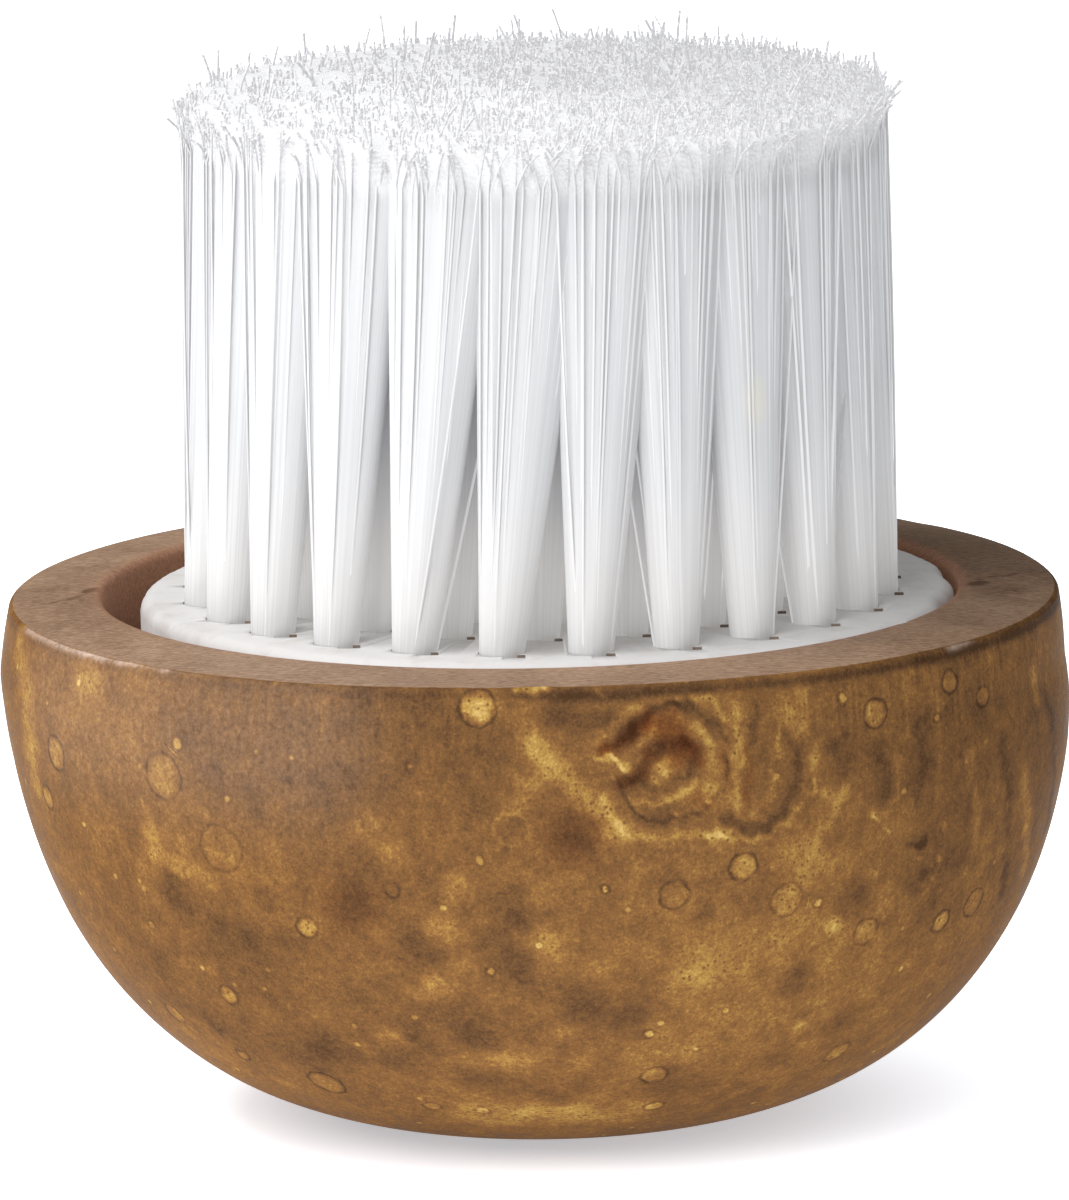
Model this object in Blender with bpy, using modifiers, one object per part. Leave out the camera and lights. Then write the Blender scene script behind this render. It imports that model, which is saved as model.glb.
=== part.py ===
"""A palm-held mushroom brush, standing on its domed wooden cap with the bristles up.

The turned cap holds a white plastic tuft plate in a glued recess. Round tufts of nylon
filament stand in the plate in rings of 24, 18, 12, 6 and 1, each folded round a piece of
flat wire that is driven across its hole.

Metres, +Z up. The origin is the middle of the flat foot at the bottom of the dome, and
the front is towards -Y. Angles round the brush are measured from the front, anticlockwise
seen from above.
"""

import math
import random

import bmesh
import bpy
from mathutils import Matrix, Vector

# Clearance between two pieces that touch on the real brush.
FIT = 0.0003

# The cap, turned from a knotty root: a dome with a flat rim and a round recess.
CAP_RADIUS = 0.0300
CAP_HEIGHT = 0.02995
CAP_WIDEST_BELOW_RIM = 0.00485
CAP_FOOT_RADIUS = 0.0085
CAP_RIM_DRAW_IN = 0.0004
CAP_RIM_WIDTH = 0.0054
CAP_RIM_EDGE = 0.0004
CAP_RECESS_EDGE = 0.0004
# Powers of the dome's section: 2 and 2 would make an ellipse, and more is fuller.
CAP_SIDE_POWER = 3.09
CAP_BASE_POWER = 1.90

# The tuft plate, a disc a little smaller than its recess, glued in off centre.
PLATE_THICKNESS = 0.0070
PLATE_SINK = 0.0001
PLATE_PLAY = 0.0012
PLATE_EDGE = 0.0003
GLUE_THICKNESS = 0.0006
GLUE_MARGIN = 0.0015

# The hole pattern. Its middle lies to the left of the disc's.
RING_COUNT = 4
TUFTS_PER_RING = 6
PATTERN_MARGIN = 0.0038
PATTERN_OFFSET = -0.0006
OUTER_RING_START = -7.0
RING_TWIST = 6.0
HOLE_FLOOR = 0.0018

# One tuft: filaments folded round the anchor and packed into a solid root. Its radius is a share
# of the distance between rings, and a strand's is a share of the circle that a tuft's strands fill.
TUFT_RADIUS_SHARE = 0.25
TUFT_ROOT_HEIGHT = 0.0012
TUFT_FOLD = 0.0008
OUTER_TUFT_STRANDS = 8
INNER_TUFT_STRANDS = 7
STRAND_RADIUS_SHARE = 0.26
STRAND_GAP = 0.0001
STRAND_SINK = 0.0004

# The trimmed brush face.
BRISTLE_REACH = 0.0287
BRISTLE_LEAN = 0.0004
TRIM_RAGGEDNESS = 0.0003
TRIM_SLOPE = 0.6
TIP_RING_SHARE = 0.95

# The flat-wire anchor across each hole, and how far each end bites into the hole's wall.
ANCHOR_BITE = 0.0002
ANCHOR_HEIGHT = 0.0018
ANCHOR_THICKNESS = 0.00035

# The slice of the plate that carries the inner tufts, and the wall left between it and the outer holes.
SLICE_THICKNESS = 0.0015
SLICE_WALL = 0.0005

# How finely round shapes are drawn, and how far a cutter runs past what it cuts.
CAP_STEPS = 64
DOME_STEPS = 12
FLARE_STEPS = 3
PLATE_STEPS = 64
TUFT_SIDES = 8
STRAND_SIDES = 3
OVERRUN = 0.0010
MERGE_DISTANCE = 0.00001
SHARP_ANGLE = 35.0
RANDOM_SEED = 7

# Places that follow from the sizes.
CAP_RIM_RADIUS = CAP_RADIUS - CAP_RIM_DRAW_IN
RECESS_RADIUS = CAP_RIM_RADIUS - CAP_RIM_WIDTH
PLATE_RADIUS = RECESS_RADIUS - PLATE_PLAY
PLATE_SHIFT = PLATE_PLAY - FIT
PLATE_TOP = CAP_HEIGHT - PLATE_SINK
PLATE_BOTTOM = PLATE_TOP - PLATE_THICKNESS
GLUE_TOP = PLATE_BOTTOM - FIT
GLUE_BOTTOM = GLUE_TOP - GLUE_THICKNESS
RECESS_FLOOR = GLUE_BOTTOM - FIT
HOLE_BOTTOM = PLATE_BOTTOM + HOLE_FLOOR
ROOT_BOTTOM = HOLE_BOTTOM + FIT
ROOT_TOP = PLATE_TOP + TUFT_ROOT_HEIGHT
ANCHOR_BOTTOM = ROOT_BOTTOM + TUFT_FOLD + FIT
PATTERN_CENTRE = PLATE_SHIFT + PATTERN_OFFSET
RING_PITCH = (PLATE_RADIUS - PATTERN_MARGIN) / RING_COUNT
TUFT_RADIUS = RING_PITCH * TUFT_RADIUS_SHARE
HOLE_RADIUS = TUFT_RADIUS + FIT
ANCHOR_LENGTH = 2 * (HOLE_RADIUS + ANCHOR_BITE)
SLIT_LENGTH = ANCHOR_LENGTH + 2 * FIT
SLIT_WIDTH = ANCHOR_THICKNESS + 2 * FIT
TRIM_HEIGHT = CAP_HEIGHT + BRISTLE_REACH
SLICE_RADIUS = RING_PITCH * RING_COUNT - SLIT_LENGTH / 2 - SLICE_WALL - FIT
SLICE_BOTTOM = PLATE_TOP - SLICE_THICKNESS


def clear_scene():
    for old in list(bpy.data.objects):
        bpy.data.objects.remove(old, do_unlink=True)


def new_collection(name):
    made = bpy.data.collections.new(name)
    bpy.context.scene.collection.children.link(made)
    return made


def new_material(name, colour, roughness, metallic=0.0):
    made = bpy.data.materials.new(name)
    made.use_nodes = True
    made.diffuse_color = (*colour, 1.0)
    shader = made.node_tree.nodes["Principled BSDF"]
    shader.inputs["Base Color"].default_value = (*colour, 1.0)
    shader.inputs["Roughness"].default_value = roughness
    shader.inputs["Metallic"].default_value = metallic
    return made


clear_scene()
PARTS = new_collection("mushroom_brush")
CUTTERS = new_collection("cutters")
ROOT_WOOD = new_material("Lacquered root wood", (0.20, 0.105, 0.042), 0.38)
PLATE_PLASTIC = new_material("White moulded plastic", (0.78, 0.78, 0.76), 0.45)
NYLON = new_material("White nylon filament", (0.86, 0.87, 0.89), 0.35)
ADHESIVE = new_material("Set adhesive", (0.62, 0.55, 0.40), 0.50)
FLAT_WIRE = new_material("Flat steel wire", (0.30, 0.25, 0.21), 0.42, 0.9)


def new_object(name, mesh, group, material=None):
    made = bpy.data.objects.new(name, mesh)
    group.objects.link(made)
    if material:
        mesh.materials.clear()
        mesh.materials.append(material)
    return made


def mesh_from(name, bm):
    mesh = bpy.data.meshes.new(name)
    bm.to_mesh(mesh)
    bm.free()
    return mesh


def cutter(name, bm):
    """A hidden helper that a Boolean cuts away or joins on."""
    made = new_object(name, mesh_from(name, bm), CUTTERS)
    made.hide_render = True
    made.display_type = "WIRE"
    return made


def boolean(target, other, operation):
    step = target.modifiers.new(f"{operation.lower()} {other.name}", "BOOLEAN")
    step.operation = operation
    step.object = other


def settle(made):
    """Applies an object's modifiers, turns its faces outwards and shades its round sides smooth."""
    bpy.context.view_layer.update()
    graph = bpy.context.evaluated_depsgraph_get()
    mesh = bpy.data.meshes.new_from_object(made.evaluated_get(graph), depsgraph=graph)
    made.modifiers.clear()
    bm = bmesh.new()
    bm.from_mesh(mesh)
    bmesh.ops.recalc_face_normals(bm, faces=bm.faces)
    bm.to_mesh(mesh)
    bm.free()
    mesh.shade_smooth()
    mesh.set_sharp_from_angle(angle=math.radians(SHARP_ANGLE))
    mesh.name = made.name
    made.data = mesh
    return made


def turned(name, outline, steps, group, material=None, closed=False):
    """A section of (radius, height) points, turned a full circle about Z."""
    bm = bmesh.new()
    corners = [bm.verts.new((radius, 0.0, height)) for radius, height in outline]
    for start, end in zip(corners, corners[1:]):
        bm.edges.new((start, end))
    if closed:
        bm.edges.new((corners[-1], corners[0]))
    made = new_object(name, mesh_from(name, bm), group, material)
    screw = made.modifiers.new("turn", "SCREW")
    screw.steps = steps
    screw.render_steps = steps
    screw.use_merge_vertices = True
    screw.merge_threshold = MERGE_DISTANCE
    return settle(made)


def add_prism(bm, centre, radius, bottom, top, sides):
    """Adds an upright prism to a mesh in the making."""
    middle = Matrix.Translation((centre[0], centre[1], (bottom + top) / 2))
    bmesh.ops.create_cone(
        bm, cap_ends=True, segments=sides, radius1=radius, radius2=radius, depth=top - bottom, matrix=middle
    )


def add_block(bm, centre, sizes):
    """Adds a box of the given length, width and height round its centre."""
    place = Matrix.Translation(centre) @ Matrix.Diagonal((*sizes, 1.0))
    bmesh.ops.create_cube(bm, size=1.0, matrix=place)


def dome_section():
    """The cap's outside, from its widest level down to the edge of its foot."""
    widest = CAP_HEIGHT - CAP_WIDEST_BELOW_RIM
    last = math.acos((CAP_FOOT_RADIUS / CAP_RADIUS) ** (CAP_SIDE_POWER / 2))
    depth = widest / math.sin(last) ** (2 / CAP_BASE_POWER)
    for step in range(DOME_STEPS + 1):
        angle = last * step / DOME_STEPS
        radius = CAP_RADIUS * math.cos(angle) ** (2 / CAP_SIDE_POWER)
        yield radius, widest - depth * math.sin(angle) ** (2 / CAP_BASE_POWER)


def flare_section():
    """The short draw-in between the rim's edge and the widest level, which both ends leave out."""
    span = CAP_WIDEST_BELOW_RIM - CAP_RIM_EDGE
    for step in range(FLARE_STEPS):
        height = span * (1 - step / FLARE_STEPS)
        radius = CAP_RADIUS - CAP_RIM_DRAW_IN * (height / span) ** 2
        yield radius, CAP_HEIGHT - CAP_WIDEST_BELOW_RIM + height


def make_cap():
    outline = [
        (0.0, RECESS_FLOOR),
        (RECESS_RADIUS, RECESS_FLOOR),
        (RECESS_RADIUS, CAP_HEIGHT - CAP_RECESS_EDGE),
        (RECESS_RADIUS + CAP_RECESS_EDGE, CAP_HEIGHT),
        (CAP_RIM_RADIUS - CAP_RIM_EDGE, CAP_HEIGHT),
        *flare_section(),
        *dome_section(),
        (0.0, 0.0),
    ]
    return turned("cap_body", outline, CAP_STEPS, PARTS, ROOT_WOOD)


def make_adhesive():
    radius = PLATE_RADIUS - GLUE_MARGIN
    outline = [(0.0, GLUE_TOP), (radius, GLUE_TOP), (radius, GLUE_BOTTOM), (0.0, GLUE_BOTTOM)]
    made = turned("adhesive_bed", outline, PLATE_STEPS, PARTS, ADHESIVE)
    made.location.x = PLATE_SHIFT
    return made


def ring_places(ring):
    """(x, y) of each tuft in a ring, where ring 0 is the single middle tuft."""
    radius = RING_PITCH * ring
    count = max(1, TUFTS_PER_RING * ring)
    start = math.radians(OUTER_RING_START + RING_TWIST * (RING_COUNT - ring))
    for tuft in range(count):
        angle = start + 2 * math.pi * tuft / count
        yield PATTERN_CENTRE + radius * math.sin(angle), -radius * math.cos(angle)


def anchor_middle(x, y):
    return Vector((x, y, ANCHOR_BOTTOM + ANCHOR_HEIGHT / 2))


def hole_cutter():
    """One tuft hole with the two slits that its anchor's ends cut down its wall, about the Z axis."""
    hole = bmesh.new()
    top = PLATE_TOP + OVERRUN
    add_prism(hole, (0.0, 0.0), HOLE_RADIUS, HOLE_BOTTOM, top, TUFT_SIDES)
    made = cutter("hole_cutter", hole)
    bottom = ANCHOR_BOTTOM - FIT
    slit = bmesh.new()
    add_block(slit, (0.0, 0.0, (bottom + top) / 2), (SLIT_LENGTH, SLIT_WIDTH, top - bottom))
    boolean(made, cutter("slit_cutter", slit), "UNION")
    return settle(made)


def make_plate():
    outline = [
        (0.0, PLATE_TOP),
        (PLATE_RADIUS - PLATE_EDGE, PLATE_TOP),
        (PLATE_RADIUS, PLATE_TOP - PLATE_EDGE),
        (PLATE_RADIUS, PLATE_BOTTOM + PLATE_EDGE),
        (PLATE_RADIUS - PLATE_EDGE, PLATE_BOTTOM),
        (0.0, PLATE_BOTTOM),
    ]
    made = turned("tuft_plate", outline, PLATE_STEPS, PARTS, PLATE_PLASTIC)
    made.location.x = PLATE_SHIFT
    one_hole = hole_cutter()
    holes = bmesh.new()
    for x, y in ring_places(RING_COUNT):
        copy = one_hole.data.copy()
        copy.transform(Matrix.Translation((x, y, 0.0)))
        holes.from_mesh(copy)
        bpy.data.meshes.remove(copy)
    boolean(made, cutter("holes_cutter", holes), "DIFFERENCE")
    pocket = bmesh.new()
    place = (PATTERN_CENTRE, 0.0)
    add_prism(pocket, place, SLICE_RADIUS + FIT, SLICE_BOTTOM - FIT, PLATE_TOP + OVERRUN, PLATE_STEPS)
    boolean(made, cutter("pocket_cutter", pocket), "DIFFERENCE")
    return settle(made)


def make_anchor(name, x, y):
    bm = bmesh.new()
    add_block(bm, (0.0, 0.0, 0.0), (ANCHOR_LENGTH, ANCHOR_THICKNESS, ANCHOR_HEIGHT))
    made = new_object(name, mesh_from(name, bm), PARTS, FLAT_WIRE)
    made.location = anchor_middle(x, y)
    return made


def spots_round(count, radius):
    """One spot in the middle and the rest evenly round it, as (x, y)."""
    yield 0.0, 0.0
    for spot in range(count - 1):
        angle = 2 * math.pi * spot / (count - 1)
        yield radius * math.cos(angle), radius * math.sin(angle)


def add_strands(bm, x, y, count, chance):
    """Adds a tuft's strands, which fan out from the root until they all but meet the next tuft's.

    Each keeps its bearing from the tuft's middle all the way up, so none of them cross.
    """
    root_circle = TUFT_RADIUS * math.cos(math.pi / TUFT_SIDES)
    tip_circle = RING_PITCH * TIP_RING_SHARE / 2
    root_radius = root_circle * STRAND_RADIUS_SHARE
    tip_radius = tip_circle * STRAND_RADIUS_SHARE
    root_ring = root_circle - root_radius - STRAND_GAP / 2
    tip_ring = tip_circle - tip_radius - STRAND_GAP / 2
    tip_x = PATTERN_CENTRE + (x - PATTERN_CENTRE) * TIP_RING_SHARE + BRISTLE_LEAN
    tip_y = y * TIP_RING_SHARE
    for near, far in zip(spots_round(count, root_ring), spots_round(count, tip_ring)):
        trimmed = TRIM_HEIGHT + (tip_x + far[0]) * math.tan(math.radians(TRIM_SLOPE))
        trimmed -= chance.random() * TRIM_RAGGEDNESS
        root = Vector((x + near[0], y + near[1], ROOT_TOP - STRAND_SINK))
        tip = Vector((tip_x + far[0], tip_y + far[1], trimmed))
        along = tip - root
        turn = along.to_track_quat("Z", "Y").to_matrix().to_4x4()
        bmesh.ops.create_cone(
            bm,
            cap_ends=True,
            segments=STRAND_SIDES,
            radius1=root_radius,
            radius2=tip_radius,
            depth=along.length,
            matrix=Matrix.Translation((root + tip) / 2) @ turn,
        )


def make_outer_tuft(name, x, y, chance):
    """A tuft on its own: its root fills the hole and lets the anchor through."""
    root = bmesh.new()
    add_prism(root, (x, y), TUFT_RADIUS, ROOT_BOTTOM, ROOT_TOP, TUFT_SIDES)
    made = new_object(name, mesh_from(name, root), PARTS, NYLON)
    window = bmesh.new()
    add_block(window, anchor_middle(x, y), (SLIT_LENGTH, SLIT_WIDTH, ANCHOR_HEIGHT + 2 * FIT))
    boolean(made, cutter(f"{name}_window", window), "DIFFERENCE")
    strands = bmesh.new()
    add_strands(strands, x, y, OUTER_TUFT_STRANDS, chance)
    boolean(made, cutter(f"{name}_strands", strands), "UNION")
    return settle(made)


def make_inner_tufts(name, rings, chance):
    """Rings of tufts whose roots are fused to a slice of the plate."""
    inner = max(RING_PITCH * (min(rings) - 1 / 2) + FIT / 2, 0.0)
    outer = min(RING_PITCH * (max(rings) + 1 / 2) - FIT / 2, SLICE_RADIUS)
    outline = [(inner, PLATE_TOP), (outer, PLATE_TOP), (outer, SLICE_BOTTOM), (inner, SLICE_BOTTOM)]
    made = turned(name, outline, PLATE_STEPS, PARTS, NYLON, closed=inner > 0.0)
    made.location.x = PATTERN_CENTRE
    roots = bmesh.new()
    strands = bmesh.new()
    for ring in rings:
        for x, y in ring_places(ring):
            add_prism(roots, (x, y), TUFT_RADIUS, SLICE_BOTTOM + SLICE_THICKNESS / 2, ROOT_TOP, TUFT_SIDES)
            add_strands(strands, x, y, INNER_TUFT_STRANDS, chance)
    boolean(made, cutter(f"{name}_roots", roots), "UNION")
    boolean(made, cutter(f"{name}_strands", strands), "UNION")
    return settle(made)


def main():
    chance = random.Random(RANDOM_SEED)
    make_cap()
    make_adhesive()
    make_plate()
    for number, (x, y) in enumerate(ring_places(RING_COUNT), 1):
        make_anchor(f"outer_anchor_{number:02d}", x, y)
        make_outer_tuft(f"outer_tuft_{number:02d}", x, y, chance)
    for ring in range(RING_COUNT - 1, 1, -1):
        make_inner_tufts(f"ring_{ring}_tufts", [ring], chance)
    make_inner_tufts("centre_tufts", [0, 1], chance)


main()
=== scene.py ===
# %% [markdown]
# # A mushroom brush
# The real object is a palm-held brush. A turned and lacquered piece of knotty root makes the cap,
# a white plastic plate is glued into its recess, and 61 round tufts of nylon filament stand in the
# plate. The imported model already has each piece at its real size, so this script only dresses it.
# Everything is in metres, +Z up, with the front towards -Y.

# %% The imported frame
import math
import random
from functools import partial

import bpy
import numpy as np
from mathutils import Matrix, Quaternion, Vector
from mathutils.bvhtree import BVHTree


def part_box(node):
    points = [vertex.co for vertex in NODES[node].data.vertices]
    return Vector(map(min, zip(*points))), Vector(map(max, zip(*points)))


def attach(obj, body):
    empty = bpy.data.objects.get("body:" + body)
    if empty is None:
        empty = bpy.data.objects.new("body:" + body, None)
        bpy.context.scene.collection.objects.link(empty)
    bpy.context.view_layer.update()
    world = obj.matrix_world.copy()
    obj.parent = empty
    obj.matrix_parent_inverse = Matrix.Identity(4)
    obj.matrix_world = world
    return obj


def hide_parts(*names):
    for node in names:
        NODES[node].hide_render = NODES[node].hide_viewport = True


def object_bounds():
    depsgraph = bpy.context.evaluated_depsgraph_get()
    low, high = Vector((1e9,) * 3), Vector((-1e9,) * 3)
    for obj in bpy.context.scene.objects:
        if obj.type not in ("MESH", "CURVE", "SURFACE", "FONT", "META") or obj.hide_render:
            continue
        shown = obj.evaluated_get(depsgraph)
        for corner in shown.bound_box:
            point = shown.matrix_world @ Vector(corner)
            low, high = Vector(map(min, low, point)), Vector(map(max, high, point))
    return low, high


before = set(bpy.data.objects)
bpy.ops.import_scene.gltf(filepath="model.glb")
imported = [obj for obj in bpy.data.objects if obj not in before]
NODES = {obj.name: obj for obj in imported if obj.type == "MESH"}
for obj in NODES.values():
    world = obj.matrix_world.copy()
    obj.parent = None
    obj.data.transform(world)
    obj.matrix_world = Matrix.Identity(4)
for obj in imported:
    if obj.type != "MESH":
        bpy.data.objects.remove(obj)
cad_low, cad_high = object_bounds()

MM = 0.001
print("CAD box, mm:", [round(v / MM, 2) for v in (*cad_low, *cad_high)])

# %% [markdown]
# ## Measures from the frame
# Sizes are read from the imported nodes, so the finer pieces below land where the solids are. The
# hole pattern is read from the flat-wire anchors, one in the middle of each outer hole.

# %% Measures
cap_low, cap_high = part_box("cap_body")
plate_low, plate_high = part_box("tuft_plate")
OUTER_TUFTS = sorted(name for name in NODES if name.startswith("outer_tuft_"))
OUTER_ANCHORS = sorted(name for name in NODES if name.startswith("outer_anchor_"))
anchor_boxes = [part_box(name) for name in OUTER_ANCHORS]
outer_places = [(low + high) / 2 for low, high in anchor_boxes]

CAP_RADIUS = (cap_high.x - cap_low.x) / 2
CAP_HEIGHT = cap_high.z
PLATE_TOP = plate_high.z
TRIM_HEIGHT = cad_high.z

pattern_centre = sum(outer_places, Vector()) / len(outer_places)
RING_COUNT = 4
RING_PITCH = (outer_places[0] - pattern_centre).xy.length / RING_COUNT
OUTER_START = math.atan2(outer_places[0].x - pattern_centre.x, pattern_centre.y - outer_places[0].y)
RING_TWIST = math.radians(6.0)
print(f"cap radius {CAP_RADIUS / MM:.2f} mm, ring pitch {RING_PITCH / MM:.2f} mm")

# %% [markdown]
# ## Camera
# The photograph was taken with a long lens from a little above the rim. The ellipse of the rim
# gives the elevation, and its small tilt in the picture gives the roll. A 36 mm sensor belongs to
# the picture's long side, so the focal length in pixels turns straight into millimetres.

# %% Camera
PHOTO_WIDTH, PHOTO_HEIGHT = 1069, 1200
FOCAL_PIXELS = 21192
SENSOR = 36.0
CAMERA_DISTANCE = 1.2
CAMERA_ELEVATION = math.radians(10.8)
CAMERA_ROLL = math.radians(-1.0)
LOOK_AT = Vector((-0.06 * MM, 0.0, 29.17 * MM))
PIXELS_PER_MM = FOCAL_PIXELS / CAMERA_DISTANCE * MM

backwards = Vector((0.0, -math.cos(CAMERA_ELEVATION), math.sin(CAMERA_ELEVATION)))
camera_turn = (-backwards).to_track_quat("-Z", "Y") @ Quaternion((0.0, 0.0, 1.0), CAMERA_ROLL)
camera = bpy.data.objects.new("camera", bpy.data.cameras.new("camera"))
camera.data.lens = FOCAL_PIXELS * SENSOR / PHOTO_HEIGHT
camera.data.sensor_width = SENSOR
camera.data.clip_start = 0.05
camera.data.clip_end = 20.0
camera.location = LOOK_AT + backwards * CAMERA_DISTANCE
camera.rotation_mode = "QUATERNION"
camera.rotation_quaternion = camera_turn
scene = bpy.context.scene
scene.collection.objects.link(camera)
scene.camera = camera


def ray_through(x, y):
    """The direction from the camera through a pixel of the photograph."""
    across = (x - PHOTO_WIDTH / 2) / FOCAL_PIXELS
    up = (PHOTO_HEIGHT / 2 - y) / FOCAL_PIXELS
    return (camera_turn @ Vector((across, up, -1.0))).normalized()


print(f"{PIXELS_PER_MM:.2f} pixels to a millimetre at the brush")

# %% [markdown]
# ## Light
# The photograph is a white studio shot. The shade of the bristles on the rim starts at 45 degrees
# to the right of the front and lies straight across to the right, so one soft light stands high on
# the left. A second one stands in front, a little to the left, because the front of the tufts is
# as bright as their left side. A faint white surround fills the shadows.

# %% Light
scene.view_settings.view_transform = "Standard"
scene.view_settings.look = "None"

world = bpy.data.worlds.new("studio")
world.use_nodes = True
world.node_tree.nodes["Background"].inputs["Color"].default_value = (1.0, 1.0, 1.0, 1.0)
world.node_tree.nodes["Background"].inputs["Strength"].default_value = 0.19
scene.world = world


def soft_light(name, place, target, size, watts):
    made = bpy.data.lights.new(name, "AREA")
    made.size = size
    made.energy = watts
    lamp = bpy.data.objects.new(name, made)
    lamp.location = place
    lamp.rotation_euler = (Vector(target) - Vector(place)).to_track_quat("-Z", "Y").to_euler()
    scene.collection.objects.link(lamp)


soft_light("left light", (-0.58, -0.04, 0.96), (0.0, 0.0, 0.03), 0.50, 8.2)
soft_light("front light", (-0.49, -0.82, 0.77), (0.0, 0.0, 0.03), 0.80, 9.6)

# %% [markdown]
# ## Helpers for materials and node trees
# Colours are written as the sRGB hex values that an image editor shows, and one function turns
# them into the linear values that a shader works in. One other function adds a node of any kind:
# it sets the node, fills or links its inputs, and gives back one output to link on.

# %% Helpers
MATH, VECTOR = "ShaderNodeMath", "ShaderNodeVectorMath"
SMOOTH = {"interpolation_type": "SMOOTHSTEP"}


def linear(code):
    """An sRGB hex colour as a linear RGBA value."""
    shares = [int(code[i : i + 2], 16) / 255 for i in (1, 3, 5)]
    return (*[s / 12.92 if s <= 0.04045 else ((s + 0.055) / 1.055) ** 2.4 for s in shares], 1.0)


def in_use(sockets, name=None):
    """The first socket that a node's settings leave in use, or the first one with a name."""
    return next(socket for socket in sockets if socket.enabled and name in (None, socket.name))


def add(tree, kind, *values, pick=None, **named):
    """Adds a node and returns its first output in use, or the one that pick names.

    The values go to the inputs in use, in their order, and a list is several links to one input.
    A named value in lower case is a setting of the node, and From_Min is its input From Min.
    """
    node = tree.nodes.new(kind)
    for name, value in named.items():
        if name.islower():
            setattr(node, name, value)
    fill = list(zip([socket for socket in node.inputs if socket.enabled], values))
    for name, value in named.items():
        if not name.islower():
            fill.append((in_use(node.inputs, name.replace("_", " ")), value))
    for socket, value in fill:
        for one in value if isinstance(value, list) else [value]:
            if isinstance(one, bpy.types.NodeSocket):
                tree.links.new(one, socket)
            elif one is not None:
                socket.default_value = linear(one) if str(one).startswith("#") else one
    return in_use(node.outputs, pick) if node.outputs else node


def new_material(name):
    """A material with an empty tree, and the place on the object in millimetres."""
    made = bpy.data.materials.new(name)
    made.use_nodes = True
    made.node_tree.nodes.clear()
    tree = made.node_tree
    place = add(tree, "ShaderNodeTexCoord", pick="Object")
    return made, tree, add(tree, VECTOR, place, 1 / MM, operation="SCALE")


def finish_material(tree, **values):
    """Ends a tree in the Principled shader and the output."""
    add(tree, "ShaderNodeOutputMaterial", add(tree, "ShaderNodeBsdfPrincipled", **values))


print("linear mid grey:", round(linear("#808080")[0], 4))

# %% [markdown]
# ## Floor
# The brush stands on white studio paper that glows as if lit from below, so it burns out to white a
# little way off. The glow is weaker close to the brush, which paints a soft pale shadow under the
# dome. That glow is also why the dome's underside is as bright as its top. The glow grows with the
# distance from the brush.

# %% Floor
HALF_SIDE = 3.0
SHADOW_RADIUS, WHITE_RADIUS = 8.0, 32.0  # where the glow starts and stops growing, in millimetres
GLOW_IN_PAINTED_SHADOW, GLOW_FAR = 0.46, 1.05
floor_mesh = bpy.data.meshes.new("floor")
corners = [(x * HALF_SIDE, y * HALF_SIDE, 0.0) for x, y in ((-1, -1), (1, -1), (1, 1), (-1, 1))]
floor_mesh.from_pydata(corners, [], [(0, 1, 2, 3)])
floor = bpy.data.objects.new("floor", floor_mesh)
scene.collection.objects.link(floor)

paper, tree, place = new_material("Glowing studio paper with painted shadow")
grain = add(tree, "ShaderNodeTexNoise", place, 0.02)
tint = add(tree, "ShaderNodeMix", grain, "#F2F2F2", "#F6F6F6", data_type="RGBA")
away = add(tree, VECTOR, place, operation="LENGTH")
spread = (away, SHADOW_RADIUS, WHITE_RADIUS, GLOW_IN_PAINTED_SHADOW, GLOW_FAR)
# Painted shadow: the glow is weaker near the brush.
painted_glow = add(tree, "ShaderNodeMapRange", *spread, **SMOOTH)
finish_material(
    tree,
    Base_Color=tint,
    Roughness=0.9,
    Specular_IOR_Level=0.0,
    # The glow is tinted faintly blue, which takes out the warm light from the cap in the painted shadow.
    Emission_Color="#F3F8FF",
    Emission_Strength=painted_glow,
)
floor_mesh.materials.append(paper)
print("floor side", 2 * HALF_SIDE, "m")

# %% [markdown]
# ## The cap's section
# A turned piece is one section swung round an axis. The solid in the frame has 64 flat steps, which
# show along its outline, so the cap is turned again here with a fine section: a recess with a
# rounded lip, the flat rim, and a dome whose curve is a power curve down to the small flat foot.

# %% Cap section
RIM_DRAW_IN = 0.4 * MM
RIM_WIDTH = 5.4 * MM
WIDEST_BELOW_RIM = 4.85 * MM
FOOT_RADIUS = 8.5 * MM
SIDE_POWER = 3.09
BASE_POWER = 1.90
OUTER_EDGE = 0.35 * MM
INNER_EDGE = 0.60 * MM
RECESS_DEPTH = 8.3 * MM
RIM_RADIUS = CAP_RADIUS - RIM_DRAW_IN
RECESS_RADIUS = RIM_RADIUS - RIM_WIDTH


def arc(centre, radius, start, end, steps):
    """Points on an arc in the section, by angle in degrees."""
    for step in range(steps + 1):
        angle = math.radians(start + (end - start) * step / steps)
        yield centre[0] + radius * math.cos(angle), centre[1] + radius * math.sin(angle)


def over_the_rim():
    """(radius, height) from the recess floor, up its wall and over the rim to its outer edge."""
    floor_level = CAP_HEIGHT - RECESS_DEPTH
    yield RECESS_RADIUS / 2, floor_level
    yield RECESS_RADIUS, floor_level
    for step in range(1, 6):
        yield RECESS_RADIUS, floor_level + (RECESS_DEPTH - INNER_EDGE) * step / 6
    yield from arc((RECESS_RADIUS + INNER_EDGE, CAP_HEIGHT - INNER_EDGE), INNER_EDGE, 180, 90, 6)
    flat = RIM_RADIUS - OUTER_EDGE - RECESS_RADIUS - INNER_EDGE
    for step in range(1, 14):
        yield RECESS_RADIUS + INNER_EDGE + flat * step / 14, CAP_HEIGHT
    yield from arc((RIM_RADIUS - OUTER_EDGE, CAP_HEIGHT - OUTER_EDGE), OUTER_EDGE, 90, 75, 1)


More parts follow.
